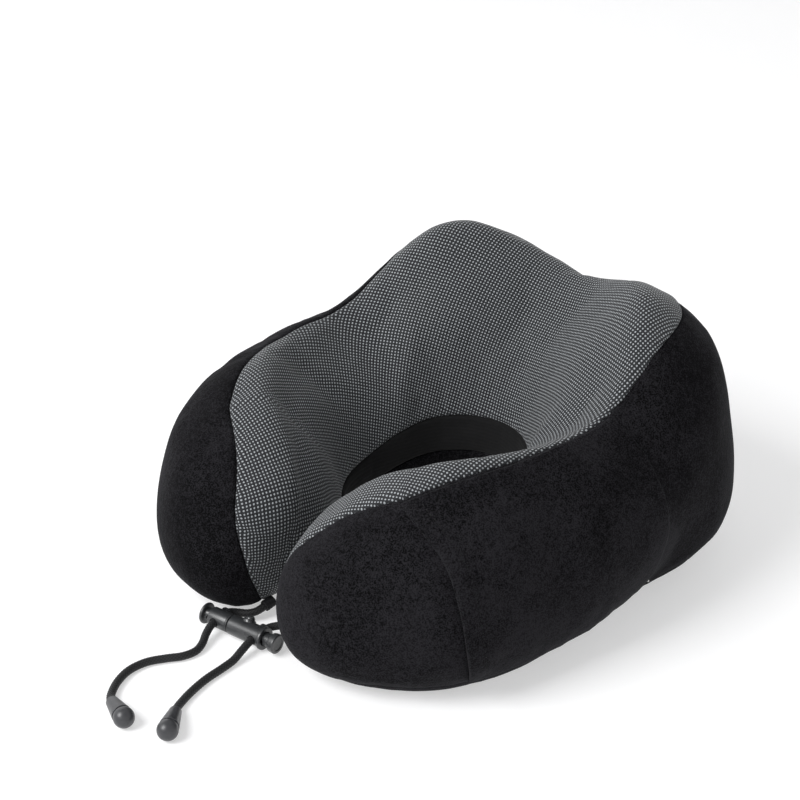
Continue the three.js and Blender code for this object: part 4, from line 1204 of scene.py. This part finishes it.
def turned(name, profile, segments=64, radius=0.25):
    """A body turned round its own X axis from (x, radius) points; both ends meet the axis."""
    profile = rounded([(profile[0][0], 0), *profile, (profile[-1][0], 0)], radius)
    angles = np.arange(segments) * 2 * math.pi / segments
    rings = [p for p in profile if p[1] > 1e-6]
    vertices = [(x, r * math.cos(a), r * math.sin(a)) for x, r in rings for a in angles]
    faces = grid_faces(len(rings), segments, wrap=True)
    last = len(vertices) - segments
    faces += [list(range(segments))[::-1], list(range(last, last + segments))]
    return orient_outward(mesh_object(name, vertices, faces))


def ring(name, profile):
    """A ring turned round X from a closed loop of (x, radius) points, none of them on the axis."""
    segments = 64
    loop = rounded([*profile, profile[0], profile[1]], 0.2)[1:-1]
    angles = np.arange(segments) * 2 * math.pi / segments
    vertices = [(x, r * math.cos(a), r * math.sin(a)) for x, r in loop for a in angles]
    faces = grid_faces(len(loop), segments, wrap=True)
    last = len(vertices) - segments
    faces += [[last + j, last + (j + 1) % segments, (j + 1) % segments, j] for j in range(segments)]
    return orient_outward(mesh_object(name, vertices, faces))


def cross_rod(name, x, y0, y1, radius):
    """A rod along local Y through x on the lock's axis."""
    rod = turned(name, [(y0, radius), (y1, radius)], 40, 0.2)
    rod.data.transform(Matrix.Translation((x, 0, 0)) @ Matrix.Rotation(math.pi / 2, 4, "Z"))
    return rod


def button_frame():
    """The button's own frame, with its X axis leaning out of the right barrel."""
    tilt = Matrix.Rotation(math.radians(90 - BUTTON_TILT), 4, "X") @ Matrix.Rotation(math.pi / 2, 4, "Z")
    return Matrix.Translation((BUTTON_AT, 0, 0)) @ tilt


def on_axis(obj, matrix):
    """Moves a turned piece from the X axis to its own frame in the lock."""
    obj.data.transform(matrix)
    return obj


def slot_cutter(x0, x1):
    """A cutter for the slot that a cord crosses a plunger through."""
    half = CORD_HOLE / 2
    outline = round_rect(x0, x1, -half, half, min(half, (x1 - x0) / 2) - 0.05, 8)
    cutter = rounded_plate("slot", outline, [], -10, 10, 0.01)
    cutter.data.transform(Matrix.Rotation(math.pi / 2, 4, "X"))
    return cutter


LOCK_FRAME = np.array(Matrix.Translation(LOCK_POSITION) @ Matrix.Rotation(math.radians(LOCK_YAW), 4, "Z"))


def lock_piece(obj, node, body):
    """Bevels a finished piece of the lock and sets it down in the model."""
    orient_outward(obj)
    bevel = obj.modifiers.new("edges", "BEVEL")
    bevel.width, bevel.segments = 0.16, 3
    bevel.limit_method, bevel.angle_limit = "ANGLE", math.radians(50)
    bevel.use_clamp_overlap = True
    apply_modifiers(obj)
    obj.data.name = obj.name
    set_down(soften(obj, 50), LOCK_FRAME)
    fit(obj, body, "lock_plastic", node)


def cord_lock():
    """Two barrels that plug together, each with a sprung plunger that grips its cord."""
    hole = CORD_HOLE / 2
    profile = [(4.4, 4.2), (4.7, 4.55), (14.9, 4.55), (15.0, 4.35), (15.2, 4.35), (15.3, 4.55)]
    left = turned("lock_barrel_left", [*profile, (15.6, 4.55), (15.9, 4.3)])
    spigot = turned("spigot", [(15.5, 2.6), (20.2, 2.6), (20.6, 2.35)], 48)
    rim = cross_rod("rim", LEFT_HOLE, 2, 5.5, 3.2)
    carve(left, adds=[spigot, rim],
          cutters=[turned("bore", [(4, 3.3), (15, 3.3)], 48), cross_rod("hole", LEFT_HOLE, -10, 10, hole)])
    lock_piece(left, "left_barrel", LEFT_HALF)
    disc = [(0, 4.6), (0.3, 5.1), (0.8, 5.2), (1.25, 5.15), (1.6, 4.8), (1.6, 3.0)]
    plunger = turned("lock_plunger_left", [*disc, (12.0, 3.0)])
    carve(plunger, cutters=[slot_cutter(2.9, LEFT_HOLE + CORD_DIAMETER / 2 + 0.3)])
    lock_piece(plunger, "left_plunger", "left_plunger")
    profile = [(16.4, 4.5), (16.7, 4.8), (34.5, 4.8), (34.8, 5.5), (36.0, 5.5), (36.2, 5.2)]
    right = turned("lock_barrel_right", profile)
    boss = on_axis(turned("boss", [(2.0, 3.2), (4.6, 3.2), (5.4, 2.95)], 48), button_frame())
    button_hole = on_axis(turned("button_hole", [(3.2, 2.45), (10, 2.45)], 48), button_frame())
    carve(right, adds=[cross_rod("rim", RIGHT_HOLE, 2, 5.6, 3.2), boss],
          cutters=[turned("socket", [(16, 2.95), (21.2, 2.95)], 48),
                   turned("room", [(22.6, 2.4), (26.5, 2.4)], 48),
                   turned("bore", [(26.2, 3.55), (40, 3.55)], 48),
                   cross_rod("hole", RIGHT_HOLE, -10, 10, hole), button_hole])
    lock_piece(right, "right_barrel", PILLOW)
    profile = [(28.7, 3.25), (39.6, 3.25), (39.7, 3.7), (40.4, 4.5), (43.2, 4.75), (43.6, 4.4)]
    plunger = turned("lock_plunger_right", profile)
    dish = turned("dish", [(43.25, 3.2), (45, 3.4)], 48)
    carve(plunger, cutters=[slot_cutter(RIGHT_HOLE - CORD_DIAMETER / 2 - 0.3, 37.0), dish])
    lock_piece(plunger, "right_plunger", "right_plunger")
    dome = [(5.5 + 1.8 * math.cos(a), 2.28 * math.sin(a)) for a in np.linspace(1.5, 0.12, 12)]
    button = turned("lock_release_button", [(4.4, 2.28), *dome], 56, 0.1)
    on_axis(button, button_frame())
    lock_piece(button, "release_button", "release_button")


cord_lock()


SPRING_WIRE = 0.225  # radius
SPRINGS = {  # start, end, radius, turns, the fixed end's seat, share of its length left when pressed
    "left": (12.5, 14.5, 2.2, 2, 14.9, 0.24),
    "right": (23.2, 28.1, 1.8, 4, 22.7, 0.62),
}


def lock_spring(side, body):
    """A coil spring of a few turns along the lock's axis, on a mesh of its own."""
    start, end, radius, turns, seat, keep = SPRINGS[side]
    turn = np.linspace(0, turns, turns * 28 + 1)
    angle = 2 * math.pi * turn
    outward = np.stack([np.zeros_like(turn), np.cos(angle), np.sin(angle)], -1)
    centre = outward * radius
    centre[:, 0] = start + (end - start) * turn / turns
    across = np.cross(unit(np.gradient(centre, axis=0)), outward)
    vertices, faces = tube_part(centre, outward, across, SPRING_WIRE, 10)
    coil = orient_outward(mesh_object(f"{side}_coil_spring", vertices, faces))
    set_down(soften(coil, 50), LOCK_FRAME)
    fit(coil, body, "spring_steel", f"{side}_spring")
    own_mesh(coil)


lock_spring("left", LEFT_HALF)
lock_spring("right", PILLOW)


# ---------------------------------------------------------------- cords
STRANDS, CORD_SIDES, CORD_STEP, STRAND_LAY = 8, 56, 0.26, 13.0


def cord_tube(name, points, body):
    """A braided cord along a route in mm: two sets of strands wind round it in opposite ways."""
    total = np.linalg.norm(np.diff(spline(points, 400), axis=0), axis=1).sum()
    centre = spline(points, int(total / CORD_STEP))
    forward = unit(np.gradient(centre, axis=0))
    side_axis = np.cross(forward[0], [0, 0, 1.0])
    across, ups = [], []
    for ahead in forward:
        side_axis = unit(side_axis - ahead * (side_axis @ ahead))
        across.append(side_axis)
        ups.append(np.cross(side_axis, ahead))
    turns = np.arange(CORD_SIDES) / CORD_SIDES
    run = np.concatenate([[0], np.cumsum(np.linalg.norm(np.diff(centre, axis=0), axis=1))])
    one, other = (STRANDS * (turns + way * run[:, None] / STRAND_LAY) for way in (1, -1))
    over = (np.floor(one) + np.floor(other)) % 2 == 0
    ridge, ends = np.where(over, one, other) % 1, np.where(over, other, one) % 1
    bulge = np.sin(math.pi * ridge) * np.sin(math.pi * ends) ** 0.35
    radius = CORD_DIAMETER / 2 * (0.92 + 0.1 * bulge)
    vertices, faces = tube_part(centre, np.array(across), np.array(ups), radius, CORD_SIDES)
    obj = mesh_object(name, place(vertices), faces)
    # strand: how high each point stands on a strand; the cord material paints shade from it into the gaps
    strand = obj.data.attributes.new("strand", "FLOAT", "POINT")
    strand.data.foreach_set("value", bulge.astype(np.float32).ravel())
    orient_kept(obj)
    wear(obj, "cord")
    if body:
        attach(obj, body)
    return obj, centre, run[-1]


def aim_matrix(start, aim):
    """The frame of a piece made along +X from the origin, placed from start towards aim."""
    direction = Vector(aim) - Vector(start)
    turn = Vector((1, 0, 0)).rotation_difference(direction.normalized())
    return np.array(Matrix.Translation(start) @ turn.to_matrix().to_4x4())


def bell(side, body):
    """A conical cord end with a round plug in its mouth, over the knot that holds the cord."""
    start, ball = BELLS[side]
    length = (Vector(ball) - Vector(start)).length
    mouth = length - 2.6
    matrix = aim_matrix(start, ball)
    profile = [(0, 2.25), (0, 2.55), (0.35, 2.85), (mouth - 0.5, 4.5), (mouth, 4.42), (mouth, 3.6),
               (5.4, 2.9), (5.0, 2.25)]
    shell = soften(ring(f"{side}_bell_shell", profile), 50)
    set_down(shell, matrix)
    fit(shell, body, "bell_plastic", f"{side}_bell")
    first = math.acos(-(length - mouth - 0.35) / BALL_RADIUS)
    turns = np.linspace(first, 0.12, 18)
    dome = [(length + BALL_RADIUS * math.cos(a), BALL_RADIUS * math.sin(a)) for a in turns]
    plug = [(mouth - 1.6, 2.7), (mouth - 1.4, 2.9), (dome[0][0], 2.9)]
    cap = soften(turned(f"{side}_bell_plug", [*plug, *dome], 64, 0.12), 50)
    set_down(cap, matrix)
    fit(cap, body, "bell_plastic", f"{side}_bell_cap")
    return [shell, cap]


def anchor(side, points):
    """A folded loop of tape sewn into the tip of the arm, which the cord comes out of."""
    matrix = aim_matrix(points[0], points[1])
    steps, length, wall = 40, 4.2, 0.55
    angles = np.arange(steps) * 2 * math.pi / steps
    across = np.sign(np.cos(angles)) * np.abs(np.cos(angles)) ** 0.8

    def outline(grow, x):
        return np.stack([np.full(steps, x), (2.15 + grow) * across, (2.05 + grow) * np.sin(angles)], -1)

    rows = np.linspace(-1.2, length, 12)
    outer = np.array([outline(wall + 0.08 * math.cos(x * 4.0), x) for x in rows])
    inner = np.array([outline(0.0, x) for x in rows])
    loop = sleeve_object(f"{side}_cord_loop", outer, inner)
    soften(loop, 50)
    set_down(loop, matrix)
    fit(loop, PILLOW, "zip_tape", f"{side}_cord_anchor")
    return loop


def cords():
    """Both drawcords, from the tips of the arms through the lock to their bells."""
    left_points = LEFT_LEAD + LEFT_TAIL[1:]
    left, left_line, left_length = cord_tube("left_drawcord", left_points, None)
    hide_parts("left_cord_lead", "left_cord_tail")
    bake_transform(left)
    right, right_line, right_length = cord_tube("right_drawcord", RIGHT_CORD, PILLOW)
    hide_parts("right_cord")
    for side, obj, line, length, body in (("left", left, left_line, left_length, LEFT_HALF),
                                          ("right", right, right_line, right_length, PILLOW)):
        ends = bell(side, body)
        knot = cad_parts[f"{side}_knot"]
        wear(knot, "cord")


anchor("left", LEFT_LEAD)
anchor("right", RIGHT_CORD)
cords()


# ---------------------------------------------------------------- floor, light
FLOOR_TONE, FLOOR_GLOW, WORLD_STRENGTH = (0.6, 0.6, 0.605), 0.45, 0.05
LIGHT_AIM = (0.0, 0.0, 0.06)
LIGHTS = {  # place, size in m, watts
    "key": ((-0.35, -1.25, 1.25), 0.9, 31),
    "top": ((0.1, 0.3, 1.9), 1.6, 4.5),
    "rim": ((-1.3, 0.1, 0.6), 0.8, 1.6),
}


def floor_paint():
    n = Nodes("floor_paint", Roughness=0.9, Emission_Color=(1, 1, 1, 1), Emission_Strength=FLOOR_GLOW,
              Specular_IOR_Level=0.1)
    return n.finish(n.colour(n.noise(3.0, 2.0), FLOOR_TONE, tuple(c * 1.01 for c in FLOOR_TONE)))


def floor():
    """A round sweep: a flat floor that curves up into a wall on every side."""
    radius, bend, height, sides = 3.2, 1.2, 3.6, 96
    profile = [(r, 0.0) for r in np.linspace(0.4, radius - bend, 5)]
    turns = np.linspace(0.1, math.pi / 2, 14)
    profile += [(radius - bend + bend * math.sin(a), bend - bend * math.cos(a)) for a in turns]
    profile.append((radius, height))
    angles = np.arange(sides) * 2 * math.pi / sides
    vertices = [(r * math.cos(a), r * math.sin(a), h) for r, h in profile for a in angles]
    faces = grid_faces(len(profile), sides, wrap=True, flip=True) + [list(range(sides))]
    sweep = mesh_object("floor", vertices, faces)
    sweep.data.materials.append(floor_paint())


def area_light(name, position, size, power):
    data = bpy.data.lights.new(name, "AREA")
    data.energy, data.size = power, size
    light = new_object(name, data)
    light.location = position
    light.rotation_euler = (Vector(LIGHT_AIM) - Vector(position)).to_track_quat("-Z", "Y").to_euler()


floor()
world = bpy.data.worlds.new("studio")
bpy.context.scene.world = world
world.use_nodes = True
background = world.node_tree.nodes["Background"]
background.inputs["Color"].default_value = (1.0, 1.0, 1.0, 1)
background.inputs["Strength"].default_value = WORLD_STRENGTH
for light_name, (position, size, power) in LIGHTS.items():
    area_light(light_name, position, size, power)
bpy.context.scene.view_settings.view_transform = "Standard"
